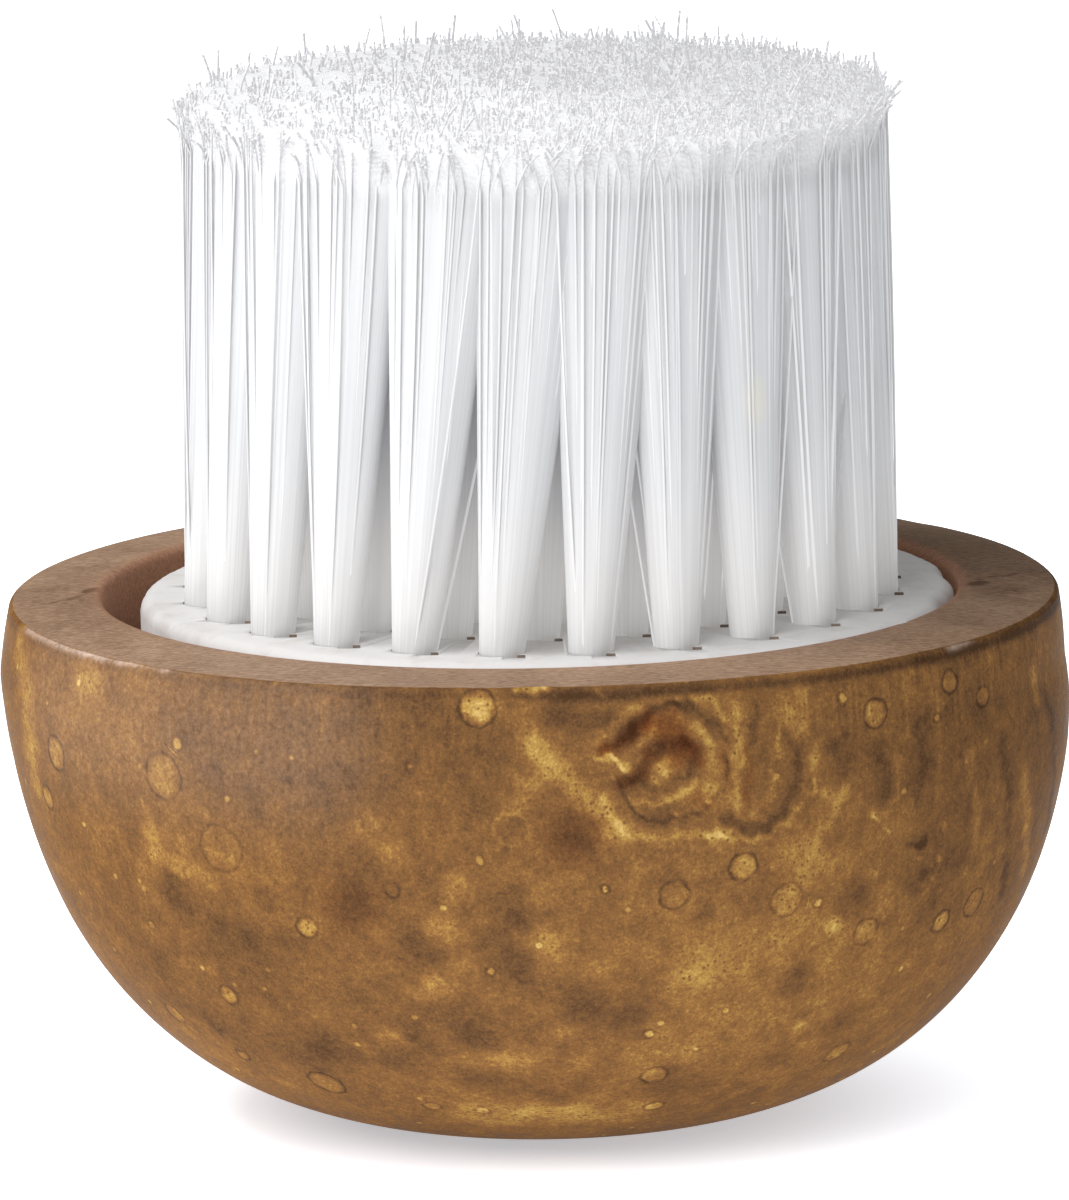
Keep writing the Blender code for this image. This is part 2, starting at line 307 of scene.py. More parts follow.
def down_the_dome():
    """(radius, height) from the rim's outer edge to the foot, in very small steps."""
    yield from arc((RIM_RADIUS - OUTER_EDGE, CAP_HEIGHT - OUTER_EDGE), OUTER_EDGE, 75, 0, 12)
    span = WIDEST_BELOW_RIM - OUTER_EDGE
    for height in np.linspace(span, 0.0, 200)[1:]:
        yield CAP_RADIUS - RIM_DRAW_IN * (height / span) ** 2, CAP_HEIGHT - WIDEST_BELOW_RIM + height
    widest = CAP_HEIGHT - WIDEST_BELOW_RIM
    last = math.acos((FOOT_RADIUS / CAP_RADIUS) ** (SIDE_POWER / 2))
    depth = widest / math.sin(last) ** (2 / BASE_POWER)
    for angle in np.linspace(0.0, last, 2500)[1:]:
        radius = CAP_RADIUS * math.cos(angle) ** (2 / SIDE_POWER)
        yield radius, widest - depth * math.sin(angle) ** (2 / BASE_POWER)


def row_step(height):
    """How far apart the rows of points stand: closest below the rim's edge and on the upper dome."""
    below = (CAP_HEIGHT - height) / MM
    return np.interp(below, (0.0, 1.2, 1.6, 5.0, 16.0, 18.0), (0.11, 0.11, 0.30, 0.20, 0.20, 0.45)) * MM


rim_rows = list(over_the_rim())
dome_rows = []
run = math.inf
before = None
for point in down_the_dome():
    run += math.dist(before, point) if before else 0.0
    before = point
    if run >= row_step(point[1]):
        dome_rows.append(point)
        run = 0.0
foot_rows = [(FOOT_RADIUS * share, 0.0) for share in (1.0, 0.66, 0.33)]
section = rim_rows + dome_rows[1:] + foot_rows
print(len(section), "points in the section of the cap")

# %% [markdown]
# The section is swung round by columns of points. They stand closest where the photograph looks
# straight at the knot, and widest at the back, which keeps the mesh within its limit of triangles.
# The faces are wound so that they point outwards, and a fan of faces closes each end.

# %% Swinging a section
COLUMN_ZONES = (  # from this angle to the next one, a column each so many millimetres
    (-180.0, 0.65),
    (-94.0, 0.30),
    (3.0, 0.13),
    (37.0, 0.30),
    (94.0, 0.65),
    (180.0, None),
)
column_angles = []
for (start, gap), (end, _) in zip(COLUMN_ZONES, COLUMN_ZONES[1:]):
    columns = round(math.radians(end - start) * CAP_RADIUS / (gap * MM))
    column_angles += [math.radians(start + (end - start) * step / columns) for step in range(columns)]
column_angles = np.array(column_angles)


def turned_mesh(name, outline, angles):
    """A closed mesh from (radius, height) pairs swung round Z, at angles from the front."""
    radii, heights = np.array(outline).T
    grid = np.empty((len(radii), len(angles), 3))
    grid[:, :, 0] = np.outer(radii, np.sin(angles))
    grid[:, :, 1] = np.outer(radii, -np.cos(angles))
    grid[:, :, 2] = heights[:, None]
    middles = [(0.0, 0.0, heights[0]), (0.0, 0.0, heights[-1])]
    corner = np.arange(grid.shape[0] * grid.shape[1]).reshape(grid.shape[:2])
    beside = np.roll(corner, -1, axis=1)
    quads = np.stack((corner[:-1], corner[1:], beside[1:], beside[:-1]), -1).reshape(-1, 4)
    upper, lower = corner.size, corner.size + 1
    fans = [(upper, a, b) for a, b in zip(corner[0].tolist(), beside[0].tolist())]
    fans += [(lower, b, a) for a, b in zip(corner[-1].tolist(), beside[-1].tolist())]
    mesh = bpy.data.meshes.new(name)
    mesh.from_pydata(grid.reshape(-1, 3).tolist() + middles, [], quads.tolist() + fans)
    mesh.shade_smooth()
    return mesh


cap_mesh = turned_mesh("cap", section, column_angles)
triangles = sum(len(face.vertices) - 2 for face in cap_mesh.polygons)
print(len(column_angles), "columns,", triangles, "triangles in the cap")

# %% [markdown]
# ## Hand-turned departures
# The real cap was turned by hand. It is a little fuller than the power curve, its axis leans, the
# recess sits slightly off centre, and the rim's outer edge is rubbed down at the sides and the
# back. Slow waves and small chips in the rim's edge finish the uneven look. All of these are a few
# tenths of a millimetre, read off the photograph's outline. The tables below are in millimetres.

# %% Cap departures
FULLER = ((0.0, 0.0), (6.0, 0.08), (12.0, 0.20), (24.0, 0.20), (27.0, 0.15), (30.0, 0.15))
LEANING_AXIS = (  # height and how far to the right
    *((0.0, 0.42), (7.0, 0.38), (14.0, 0.28), (21.0, 0.12)),
    *((24.0, -0.05), (26.0, -0.25), (30.0, -0.10)),
)
RECESS_OFF_CENTRE = (-0.3 * MM, 0.5 * MM)
RUBBED_DOWN = 0.33 * MM
UNEVENNESS = 0.05 * MM
CHIPS = (  # angle from the front in degrees, how long, how deep
    (-11.0, 0.9 * MM, 0.16 * MM),
    (-8.0, 1.2 * MM, 0.12 * MM),
    (-0.5, 1.6 * MM, 0.24 * MM),
    (1.6, 1.3 * MM, 0.16 * MM),
    (-33.0, 1.5 * MM, 0.10 * MM),
    (-49.0, 2.4 * MM, 0.14 * MM),
    (-44.0, 1.0 * MM, 0.12 * MM),
    (24.0, 0.8 * MM, 0.12 * MM),
    (47.0, 1.4 * MM, 0.14 * MM),
    (131.0, 1.8 * MM, 0.18 * MM),
    (205.0, 1.2 * MM, 0.16 * MM),
)
CHIP_REACH = 0.5 * MM


def read_points(mesh):
    values = np.empty(len(mesh.vertices) * 3)
    mesh.vertices.foreach_get("co", values)
    return values.reshape(-1, 3)


def write_points(mesh, values):
    mesh.vertices.foreach_set("co", values.ravel())
    mesh.update()


points = read_points(cap_mesh)
radii = np.hypot(points[:, 0], points[:, 1])
angles = np.arctan2(points[:, 0], -points[:, 1])
heights = points[:, 2].copy()
rim_vertices = len(rim_rows) * len(column_angles)
outside = np.ones(len(points))
outside[:rim_vertices] = np.clip((radii[:rim_vertices] - RECESS_RADIUS) / RIM_WIDTH, 0.0, 1.0)
outside[-2] = 0.0

waves = (
    0.45 * np.sin(3 * angles + 1.0 + heights / (9 * MM))
    + 0.30 * np.sin(7 * angles - 2.0 + heights / (4 * MM))
    + 0.25 * np.sin(13 * angles + 4.0 - heights / (3 * MM))
)
growth = UNEVENNESS * waves * np.clip(heights / (3 * MM), 0.0, 1.0)
growth += np.interp(heights / MM, *zip(*FULLER)) * MM
growth *= outside
for chip_angle, chip_length, chip_depth in CHIPS:
    off = (angles - math.radians(chip_angle) + math.pi) % (2 * math.pi) - math.pi
    along = off * CAP_RADIUS / chip_length
    below = (CAP_HEIGHT - heights) / CHIP_REACH
    inwards = (RIM_RADIUS - radii) / CHIP_REACH
    growth -= chip_depth * np.exp(-3 * along**2 - below**2 - inwards**2)
stretch = (radii + growth) / np.maximum(radii, 1e-9)
points[:, 0] *= stretch
points[:, 1] *= stretch
points[:, 0] += outside * np.interp(heights / MM, *zip(*LEANING_AXIS)) * MM
points[:, 0] += (1 - outside) * RECESS_OFF_CENTRE[0]
points[:, 1] += (1 - outside) * RECESS_OFF_CENTRE[1]
at_sides = 1 - 0.75 * np.exp(-((np.degrees(angles) / 35) ** 2))
high = np.clip((heights / MM - 18) / 12, 0.0, 1.0)
points[:, 2] -= RUBBED_DOWN * outside**2 * at_sides * high
write_points(cap_mesh, points)

for face in cap_mesh.polygons:
    face.material_index = 1 if max(face.vertices) < rim_vertices else 0
cap = bpy.data.objects.new("turned_cap", cap_mesh)
scene.collection.objects.link(cap)
print("cap reaches, mm:", (points.min(0) / MM).round(2), (points.max(0) / MM).round(2))

# %% [markdown]
# ## Finding a pixel on the dome
# A ray from the camera through a pixel of the photograph meets the cap in one point. The turned
# surface there also tells how obliquely it is seen, which widens a stroke that is painted near
# the dome's left or right edge.

# %% Pixel to dome
cap_surface = BVHTree.FromPolygons(points.tolist(), [tuple(face.vertices) for face in cap_mesh.polygons])


def on_cap(x, y):
    """Where the cap shows at a pixel of the photograph, in millimetres."""
    return cap_surface.ray_cast(camera.location, ray_through(x, y))[0] / MM


def sideways_stretch(spot):
    """How much wider a thing on the dome is than it looks, near the left or right edge."""
    return 1 / max(0.35, math.cos(math.atan2(spot.x, -spot.y)))


print("the knot's middle, mm:", [round(v, 1) for v in on_cap(668, 764)])

# %% [markdown]
# ## Strokes of stain and painted light
# Stain, scorched spots and clear wood follow no rule, so they are painted. A stroke is a soft line
# through a few points that the photograph shows, with a width and an amount: lighter where it is
# above zero and darker below. The strokes are pixel places, not copied colours: how strong each one
# is was judged.

# %% Stain and painted light strokes
STAIN_AND_LIGHT_STROKES = (  # amount, width in pixels, places in pixels
    # The first stroke is a painted highlight along the dome's lit left edge.
    (0.22, 14, (20, 640), (28, 700), (35, 780)),
    (0.18, 22, (85, 680)),
    (0.18, 28, (520, 720), (540, 760), (520, 800)),
    (0.26, 25, (536, 743), (585, 795), (619, 834)),
    (0.30, 10, (600, 736), (620, 720), (640, 703), (662, 696), (690, 696), (712, 702), (722, 715)),
    (0.30, 13, (606, 800), (614, 820), (632, 832), (655, 838), (690, 836), (725, 834)),
    (0.28, 11, (736, 705), (738, 760), (734, 805)),
    (0.26, 6, (780, 734), (772, 768), (776, 784), (751, 817)),
    (0.30, 5, (813, 743), (815, 788), (792, 821), (759, 838), (710, 838)),
    (0.15, 16, (784, 714), (800, 730)),
    (0.22, 8, (850, 772), (834, 813), (817, 838)),
    (0.26, 8, (900, 763), (896, 797), (883, 813)),
    (0.22, 7, (937, 701), (937, 797)),
    (0.26, 9, (970, 755), (975, 846)),
    (0.26, 9, (1025, 780), (1024, 867)),
    (0.26, 7, (1034, 668), (1036, 697)),
    (0.22, 14, (145, 807), (152, 848), (179, 868), (212, 881)),
    (0.26, 30, (368, 834)),
    (0.26, 30, (392, 858)),
    (0.26, 30, (459, 885)),
    (0.26, 30, (436, 929)),
    (0.26, 30, (436, 986)),
    (0.28, 44, (547, 942)),
    (0.22, 34, (480, 1060), (520, 1064)),
    (0.24, 30, (388, 1033)),
    (0.28, 56, (699, 973)),
    (0.26, 40, (802, 860)),
    (0.20, 20, (830, 794)),
    (0.34, 16, (835, 925)),
    (0.34, 14, (799, 1027)),
    (-0.36, 11, (788, 734), (801, 755), (792, 797), (772, 826), (747, 830), (726, 817)),
    (-0.30, 22, (838, 745), (846, 770)),
    (-0.22, 14, (878, 745), (886, 795)),
    (-0.26, 8, (757, 701), (752, 743)),
    (-0.26, 24, (561, 716), (598, 722), (635, 728)),
    (-0.28, 44, (575, 837)),
    (-0.26, 8, (917, 722), (925, 763), (917, 805)),
    (-0.30, 9, (1002, 743), (1002, 892)),
    (-0.26, 7, (1047, 701), (1047, 825)),
    # The next ten wide strokes even out the tone over large areas. Those that darken the right side are
    # painted shade, and the one along the bottom is painted light thrown up from the floor.
    (0.04, 80, (70, 705), (150, 700)),
    (-0.16, 120, (240, 735), (340, 735), (440, 735)),
    (-0.06, 120, (340, 860), (440, 860)),
    (-0.16, 140, (260, 1000), (330, 1030)),
    (-0.14, 60, (1035, 720), (1030, 850)),
    (-0.14, 90, (960, 730), (950, 830)),
    (0.10, 120, (740, 940), (820, 930)),
    (0.10, 100, (720, 1030), (820, 1020)),
    (-0.10, 70, (890, 760)),
    (0.30, 60, (480, 1112), (620, 1112)),
    (-0.25, 36, (175, 892)),
    (-0.22, 26, (267, 898)),
    (-0.25, 24, (246, 936)),
    (-0.22, 44, (351, 908)),
    (-0.26, 54, (419, 949)),
    (-0.22, 44, (513, 915)),
    (-0.26, 54, (503, 959)),
    (-0.22, 46, (463, 1017), (476, 1037)),
    (-0.22, 46, (476, 1081)),
    (-0.20, 36, (324, 1050)),
    (-0.20, 30, (219, 1023)),
    (-0.20, 30, (165, 969)),
    (-0.24, 46, (578, 1000), (620, 1014)),
    (-0.26, 20, (706, 911)),
    (-0.26, 30, (795, 980)),
    (-0.24, 30, (854, 897)),
    (-0.22, 36, (844, 1018)),
    (-0.20, 30, (782, 1052)),
    (-0.22, 40, (665, 1083)),
    (-0.32, 4, (905, 847), (914, 846)),
    (-0.75, 6, (918, 846), (924, 842)),
    (-0.30, 10, (923, 874), (930, 868)),
    (-0.20, 14, (920, 880), (914, 892)),
    (0.45, 4, (918, 859), (921, 859)),
    (0.45, 3, (929, 864), (932, 863)),
    (0.45, 4, (939, 858), (939, 860)),
    (0.45, 4, (943, 826), (944, 828)),
    (0.45, 4, (934, 877), (934, 878)),
    (0.45, 3, (966, 870), (966, 872)),
    (0.30, 3, (867, 806), (877, 818), (885, 831)),
    (0.50, 6, (514, 689), (530, 691), (546, 689)),
    (0.38, 26, (474, 704), (490, 704)),
    (0.30, 12, (480, 716), (482, 718)),
    (-0.28, 12, (287, 779)),
    (-0.30, 10, (415, 1038)),
    (0.35, 3, (869, 809), (888, 834)),
    (0.40, 8, (518, 686), (540, 687)),
    (0.25, 5, (276, 681), (330, 685)),
    (0.35, 4, (598, 690), (604, 696)),
)
KNOT_STROKES = (  # the dark outline, the ochre parts and the pale flecks of the large knot
    (-0.30, 12, (610, 748), (624, 738), (634, 728)),
    (-0.34, 8, (634, 726), (648, 715), (662, 708), (676, 705)),
    (-0.34, 9, (676, 705), (690, 709), (704, 716), (716, 727)),
    (-0.30, 4, (718, 730), (726, 746), (728, 764), (724, 784), (714, 803)),
    (-0.30, 5, (706, 812), (690, 817), (672, 820), (656, 822), (642, 816)),
    (-0.30, 5, (642, 816), (630, 806), (623, 796), (620, 786)),
    (-0.30, 16, (620, 784), (634, 780)),
    (-0.26, 14, (640, 780), (646, 762), (658, 748)),
    (-0.28, 18, (664, 746), (682, 746)),
    (-0.24, 12, (688, 742), (698, 758), (690, 772)),
    (-0.22, 6, (646, 786), (660, 790), (676, 782), (686, 776)),
    (0.20, 10, (644, 742), (652, 728)),
    (0.26, 12, (696, 728), (708, 740)),
    (0.16, 16, (712, 748), (714, 778), (708, 796)),
    (0.36, 9, (632, 799), (655, 803), (680, 796), (696, 784)),
    (0.38, 11, (664, 764), (666, 772)),
    (0.28, 5, (680, 768), (682, 774)),
    (0.30, 5, (672, 715), (682, 717)),
    (0.34, 4, (636, 806), (646, 813)),
    (0.40, 3, (674, 816), (678, 817)),
    (0.36, 4, (706, 806), (712, 803)),
    (0.34, 4, (650, 777), (658, 786), (666, 788)),
    (0.55, 6, (595, 758), (605, 760), (615, 757)),
    (0.55, 5, (615, 758), (624, 764), (632, 769)),
    (0.40, 4, (611, 775), (613, 777)),
)
RED_STROKES = (  # where the stain has turned red-brown
    (0.90, 16, (606, 750), (626, 738), (646, 720)),
    (0.80, 34, (668, 730), (676, 748)),
    (0.70, 14, (650, 756), (640, 776), (620, 784)),
    (0.60, 14, (688, 745), (700, 762)),
    (0.35, 14, (694, 796), (708, 806)),
    (0.40, 6, (724, 745), (727, 780)),
    (0.45, 8, (747, 743), (747, 805)),
    (0.35, 60, (575, 837)),
    (0.25, 60, (350, 908)),
)
STAIN_AND_LIGHT_STRENGTH = 0.78
KNOT_STRENGTH = 0.85


def stroke_cover(at, line, width):
    """How much of a soft stroke lies over each point of an array, from 0 to 1."""
    nearest = np.full(len(at), np.inf)
    for start, end in zip(line, line[1:] or line):
        along = np.array(end - start)
        share = (at - np.array(start)) @ along / max(along @ along, 1e-9)
        nearest_spot = np.array(start) + np.clip(share, 0.0, 1.0)[:, None] * along
        nearest = np.minimum(nearest, np.linalg.norm(at - nearest_spot, axis=1))
    return np.exp(-((nearest / (0.5 * width)) ** 2.8) * 0.8)


def painted(at, strokes):
    """The sum of all strokes at each point, in millimetres from the middle of the cap."""
    total = np.zeros(len(at))
    for amount, width, *pixels in strokes:
        line = [on_cap(*pixel) for pixel in pixels]
        real_width = width / PIXELS_PER_MM * sideways_stretch(line[0])
        total += amount * stroke_cover(at, line, real_width)
    return total


print("a pixel is", round(1 / PIXELS_PER_MM, 3), "mm wide in the middle")

# %% [markdown]
# Wear, shade and sheen are painted in the same way: pale rubbed places on the rim's edge with a
# painted highlight along its lit left part, a pit in its face with painted shade in it, painted
# shade over the right of the face, a painted sheen on the lacquer at the upper left, and upright
# fibres below the rim.

# %% Strokes of wear, highlight, sheen and shade
WEAR_AND_HIGHLIGHT_STROKES = (  # pale places on the rim's outer edge: rubbed wear, and a painted highlight along the lit left part
    (0.6, 10, (30, 630), (61, 645), (84, 650)),
    (0.9, 10, (88, 652), (107, 656)),
    (0.8, 10, (120, 659), (172, 667)),
    (0.6, 10, (180, 669), (230, 673)),
    (0.6, 10, (952, 646), (964, 640)),
    (0.5, 10, (1020, 606), (1029, 600)),
)
SHEEN_STROKES = ((1.0, 80, (60, 700), (170, 725), (290, 735)),)  # a painted sheen of the left light on the lacquer
PIT_AND_SHADE_STROKES = (  # painted shade in the pit at the left of the rim's face and its crease, and over the face's right
    (1.0, 5, (90, 591), (99, 591)),
    (0.4, 2, (55, 603), (88, 594)),
    (0.15, 14, (60, 588), (84, 582)),
    (0.14, 60, (960, 560), (1010, 575)),
)
FIBRE_STROKES = (  # where upright fibres show below the rim
    (0.5, 60, (230, 700), (340, 712), (440, 712)),
    (0.6, 60, (820, 700), (950, 680), (1030, 640)),
)
FIBRES_ALL_OVER = 0.15
SHEEN_STRENGTH = 0.10
COATS = (  # what is painted, with which strength and which strokes
    ("stain", STAIN_AND_LIGHT_STRENGTH, STAIN_AND_LIGHT_STROKES),
    ("stain", KNOT_STRENGTH, KNOT_STROKES),
    ("red", 1.0, RED_STROKES),
    ("worn", 1.0, WEAR_AND_HIGHLIGHT_STROKES),
    ("rim_dark", 1.0, PIT_AND_SHADE_STROKES),
    ("fibres", 1.0, FIBRE_STROKES),
)
print(sum(len(strokes) for _, _, strokes in COATS), "strokes in", len(COATS), "coats")

# %% [markdown]
# A hand-laid line wanders, so the places are shaken a little by a sum of waves before the strokes
# are laid on. The back of the cap isn't in the photograph: the same strokes are laid there once
# more, turned half round.

# %% Painting
WAVES = ((3.1, 5.3, 2.3), (2.7, 4.1, 6.1), (5.7, 3.3, 2.9))
HALF_ROUND = (-1.0, -1.0, 1.0)
points_mm = points / MM
x, y, z = points_mm.T
wander = np.zeros_like(points_mm)
for axis, (one, two, three) in enumerate(WAVES):
    wander[:, axis] = 0.10 * np.sin(one * x + 2.0 * z)
    wander[:, axis] += 0.08 * np.sin(two * z - 1.7 * y)
    wander[:, axis] += 0.05 * np.sin(three * y)

paint = {name: np.zeros(len(points)) for name, _, _ in COATS}
paint["fibres"] += FIBRES_ALL_OVER
for way_round in ((1.0, 1.0, 1.0), HALF_ROUND):
    for name, strength, strokes in COATS:
        paint[name] += strength * painted((points_mm + wander) * way_round, strokes)

# %% [markdown]
# Next to the rim's outer edge a dark line follows the edge, strongest at the front and the right,
# and the edge itself is rubbed pale, with a painted highlight along its lit left part. Both are read
# from how far a point lies below the edge.

# %% A dark line and wear along the edge
DARK_LINE_DEPTHS = ((-180, 0.3), (0, 0.2), (3, 0.35), (14, 0.35), (20, 0.25), (60, 0.3), (180, 0.3))
DARK_LINE_STRENGTHS = (  # by angle from the front in degrees
    (-180, 0.2),
    (-100, 0.2),
    (-60, 0.08),
    (-10, 0.1),
    (0, 0.2),
    (3, 0.4),
    (14, 0.4),
    (20, 0.3),
    (60, 0.45),
    (90, 0.45),
    (130, 0.25),
    (180, 0.2),
)
EDGE_WIDTH, EDGE_DEPTH = 0.16 * MM, 0.25
DARK_LINE_START = 0.3
LIP_WIDTH, LIP_DEPTH = 0.5 * MM, 2.0 * MM
angle_degrees = np.degrees(angles)
below_edge = (CAP_HEIGHT - heights) / MM
dark_line = np.interp(angle_degrees, *zip(*DARK_LINE_STRENGTHS))
dark_line_depth = np.interp(angle_degrees, *zip(*DARK_LINE_DEPTHS))
on_outside = outside > 0.999
from_dark_line = (below_edge - DARK_LINE_START - dark_line_depth / 2) / dark_line_depth
paint["stain"] -= dark_line * on_outside * np.exp(-(from_dark_line**2))
on_side = np.exp(-((below_edge / EDGE_DEPTH) ** 2))
on_edge = np.exp(-(((RIM_RADIUS - radii) / EDGE_WIDTH) ** 2) - (below_edge / EDGE_DEPTH) ** 2)
paint["worn"] *= np.where(np.arange(len(points)) < rim_vertices, on_edge, on_side)
# The painted sheen of the left light on the lacquer joins the wear.
paint["worn"] += SHEEN_STRENGTH * painted(points_mm, SHEEN_STROKES) * on_outside
lip = np.exp(-((outside * RIM_WIDTH / LIP_WIDTH) ** 2)) * (heights > CAP_HEIGHT - LIP_DEPTH)
paint["lip"] = np.maximum(lip, outside < 0.001)


def keep(mesh, name, values, kind="FLOAT", part="value"):
    """Keeps a number or a vector for each point of a mesh as an attribute."""
    mesh.attributes.new(name, kind, "POINT")
    mesh.attributes[name].data.foreach_set(part, values.astype(np.float32).ravel())


for name, values in paint.items():
    least, most = (-0.9, 0.7) if name == "stain" else (0.0, 1.0)
    keep(cap_mesh, name, np.clip(values, least, most))
print("stain from", paint["stain"].min().round(2), "to", paint["stain"].max().round(2))

# %% [markdown]
# ## Root marks
# Such a root is turned from the knotty base of the plant. Each rootlet that the turning cut through
# leaves a small round mark: a thin dark outline round a lighter, slightly raised middle. Each point
# of the mesh keeps the way to the nearest mark's middle and that mark's size, so the material can
# draw all marks at once, with a crisp outline. The marks at the back and the sides are scattered
# by chance.

# %% Root marks
MARKS = (  # pixel x, pixel y, radius in pixels, lighter or darker middle, outline
    (163, 776, 24, 0.16, 0.50),
    (221, 848, 25, 0.10, 0.30),
    (56, 753, 18, 0.42, 0.60),
    (48, 797, 13, 0.40, 0.40),
    (177, 744, 7, 0.60, 0.30),
    (84, 824, 4, 0.50, 0.10),
    (227, 799, 4, 0.50, 0.10),
    (480, 861, 5, 0.45, 0.20),
    (491, 971, 5, 0.50, 0.30),
    (818, 902, 5, 0.40, 0.20),
    (649, 1034, 6, 0.55, 0.30),
    (478, 708, 19, 0.30, 0.60),
    (510, 830, 17, -0.10, -0.20),
    (307, 927, 12, 0.42, 0.50),
    (304, 885, 7, -0.10, 0.30),
    (392, 890, 7.5, 0.05, 0.50),
    (744, 867, 15, 0.40, 0.50),
    (675, 895, 15.5, 0.08, 0.50),
    (787, 899, 18, 0.16, 0.35),
    (866, 931, 15, 0.15, 0.40),
    (941, 921, 13, 0.35, 0.60),
    (974, 902, 16, 0.15, 0.50),
    (843, 698, 6, 0.50, 0.20),
    (876, 713, 15, 0.28, 0.60),
    (950, 681, 12, 0.35, 0.55),
    (983, 696, 11, 0.25, 0.50),
    (937, 718, 5, 0.30, 0.40),
    (152, 925, 5, 0.30, 0.30),
    (229, 995, 12, 0.42, 0.35),
    (175, 1013, 13, 0.22, 0.35),
    (243, 1055, 9, 0.28, 0.40),
    (327, 1083, 20, 0.30, 0.55),
    (432, 1106, 9, 0.30, 0.30),
    (483, 1110, 8, 0.30, 0.30),
    (654, 1075, 14, 0.30, 0.55),
    (654, 1106, 10, 0.35, 0.40),
    (837, 1052, 15, 0.28, 0.35),
    (605, 889, 5, 0.50, 0.50),
)
MARK_REACH = 0.8
MIDDLE_STRENGTH, OUTLINE_STRENGTH = 0.62, 0.50
SCATTERED = 34
mark_middles = [on_cap(x, y) for x, y, *_ in MARKS]
mark_sizes = [radius / PIXELS_PER_MM for _, _, radius, _, _ in MARKS]
mark_looks = [(middle * MIDDLE_STRENGTH, outline * OUTLINE_STRENGTH) for *_, middle, outline in MARKS]
chance = random.Random(5)
candidates = [
    index
    for index in range(rim_vertices, len(points) - 2)
    if abs(angle_degrees[index]) > 88 and 3.0 < points_mm[index, 2] < 27.5
]
while len(mark_middles) < len(MARKS) + SCATTERED:
    spot = Vector(points_mm[chance.choice(candidates)])
    size = chance.choice((0.28, 0.4, 0.5, 0.7, 0.8, 1.0, 1.3))
    if all((spot - other).length > size + taken + 1.2 for other, taken in zip(mark_middles, mark_sizes)):
        mark_middles.append(spot)
        mark_sizes.append(size)
        mark_looks.append((chance.uniform(0.06, 0.28), chance.uniform(0.1, 0.3)))

best = np.full(len(points), np.inf)
mark_way = np.zeros_like(points_mm)
mark_values = np.zeros((len(points), 4))
for spot, size, (middle, outline) in zip(mark_middles, mark_sizes, mark_looks):
    way = points_mm - np.array(spot)
    beyond = np.linalg.norm(way, axis=1) - size
    here = beyond < best
    best[here] = beyond[here]
    mark_way[here] = way[here]
    mark_values[here] = (size, middle, outline, 0.0)
mark_values[:, 3] = np.clip((MARK_REACH - best) / 0.4, 0.0, 1.0) * on_outside
for column, name in enumerate(("mark_size", "mark_middle", "mark_outline", "mark_near")):
    keep(cap_mesh, name, mark_values[:, column])
keep(cap_mesh, "mark_way", mark_way, "FLOAT_VECTOR", "vector")
print(len(mark_middles), "root marks")

# %% [markdown]
# ## Stained and lacquered root
# The wood is a knotty root, most likely of bamboo, turned, stained unevenly and lacquered. The
# stain sinks in by the direction of the grain, so brown and ochre patches of 1 to 3 mm meet softly,
# over a grain of 0.34 mm and a speckle. The real speckle is finer than a pixel, so it is drawn
# coarser, at 0.14 mm. Tiny pores show dark on the ochre, and resin specks show pale. The lacquer
# is old and rubbed dull over a slightly pebbled surface, so its specular is kept very low. All of
# it is one number, how light the stain is, until a colour ramp at the end.

# %% Stain over the root
STAIN_LEVEL = 0.46
CAP_LAYERS = (  # size of a lump in millimetres, detail, roughness, weight in the stain
    ("clouds", 4.2, 2.0, 0.55, 0.36),
    ("patches", 1.5, 3.0, 0.65, 0.52),
    ("grain", 0.34, 2.0, 0.70, 0.44),
    ("speckle", 0.14, 1.0, 0.60, 0.42),
)
UPRIGHT = (1.0, 1.0, 0.07)
FIBRE_WIDTH, FIBRE_WEIGHT = 0.36, 0.55
CAP_PAINT = ("stain", "fibres", "red", "worn", "mark_size", "mark_near", "mark_middle", "mark_outline")


def weigh(tree, value, weight, total):
    """Adds value minus a half, times a weight, to a running total."""
    centred = add(tree, MATH, value, 0.5, operation="SUBTRACT")
    return add(tree, MATH, centred, weight, total, operation="MULTIPLY_ADD")


cap_material, tree, place = new_material("Stained lacquered root")
stain_and_light, fibrous, red_here, wear_and_highlight_here, size, near, lighter, outlined = [
    add(tree, "ShaderNodeAttribute", pick="Fac", attribute_name=name) for name in CAP_PAINT
]
light = add(tree, MATH, stain_and_light, STAIN_LEVEL, operation="ADD")
layers = {}
for name, lump, detail, roughness, weight in CAP_LAYERS:
    layers[name] = add(tree, "ShaderNodeTexNoise", place, 1 / lump, detail, roughness)
    light = weigh(tree, layers[name], weight, light)
upright = add(tree, VECTOR, place, UPRIGHT, operation="MULTIPLY")
streaks = add(tree, "ShaderNodeTexNoise", upright, 1 / FIBRE_WIDTH, 1.0, 0.55)
streak_strength = add(tree, MATH, fibrous, FIBRE_WEIGHT, operation="MULTIPLY")
light = weigh(tree, streaks, streak_strength, light)
print(len(tree.nodes), "nodes so far")

# %% [markdown]
# The marks are drawn from the distance to the nearest mark's outline. A little noise in that
# distance makes the outline wander, and more noise breaks it. The middle keeps the grain of the
# wood, because it only makes the stain lighter.

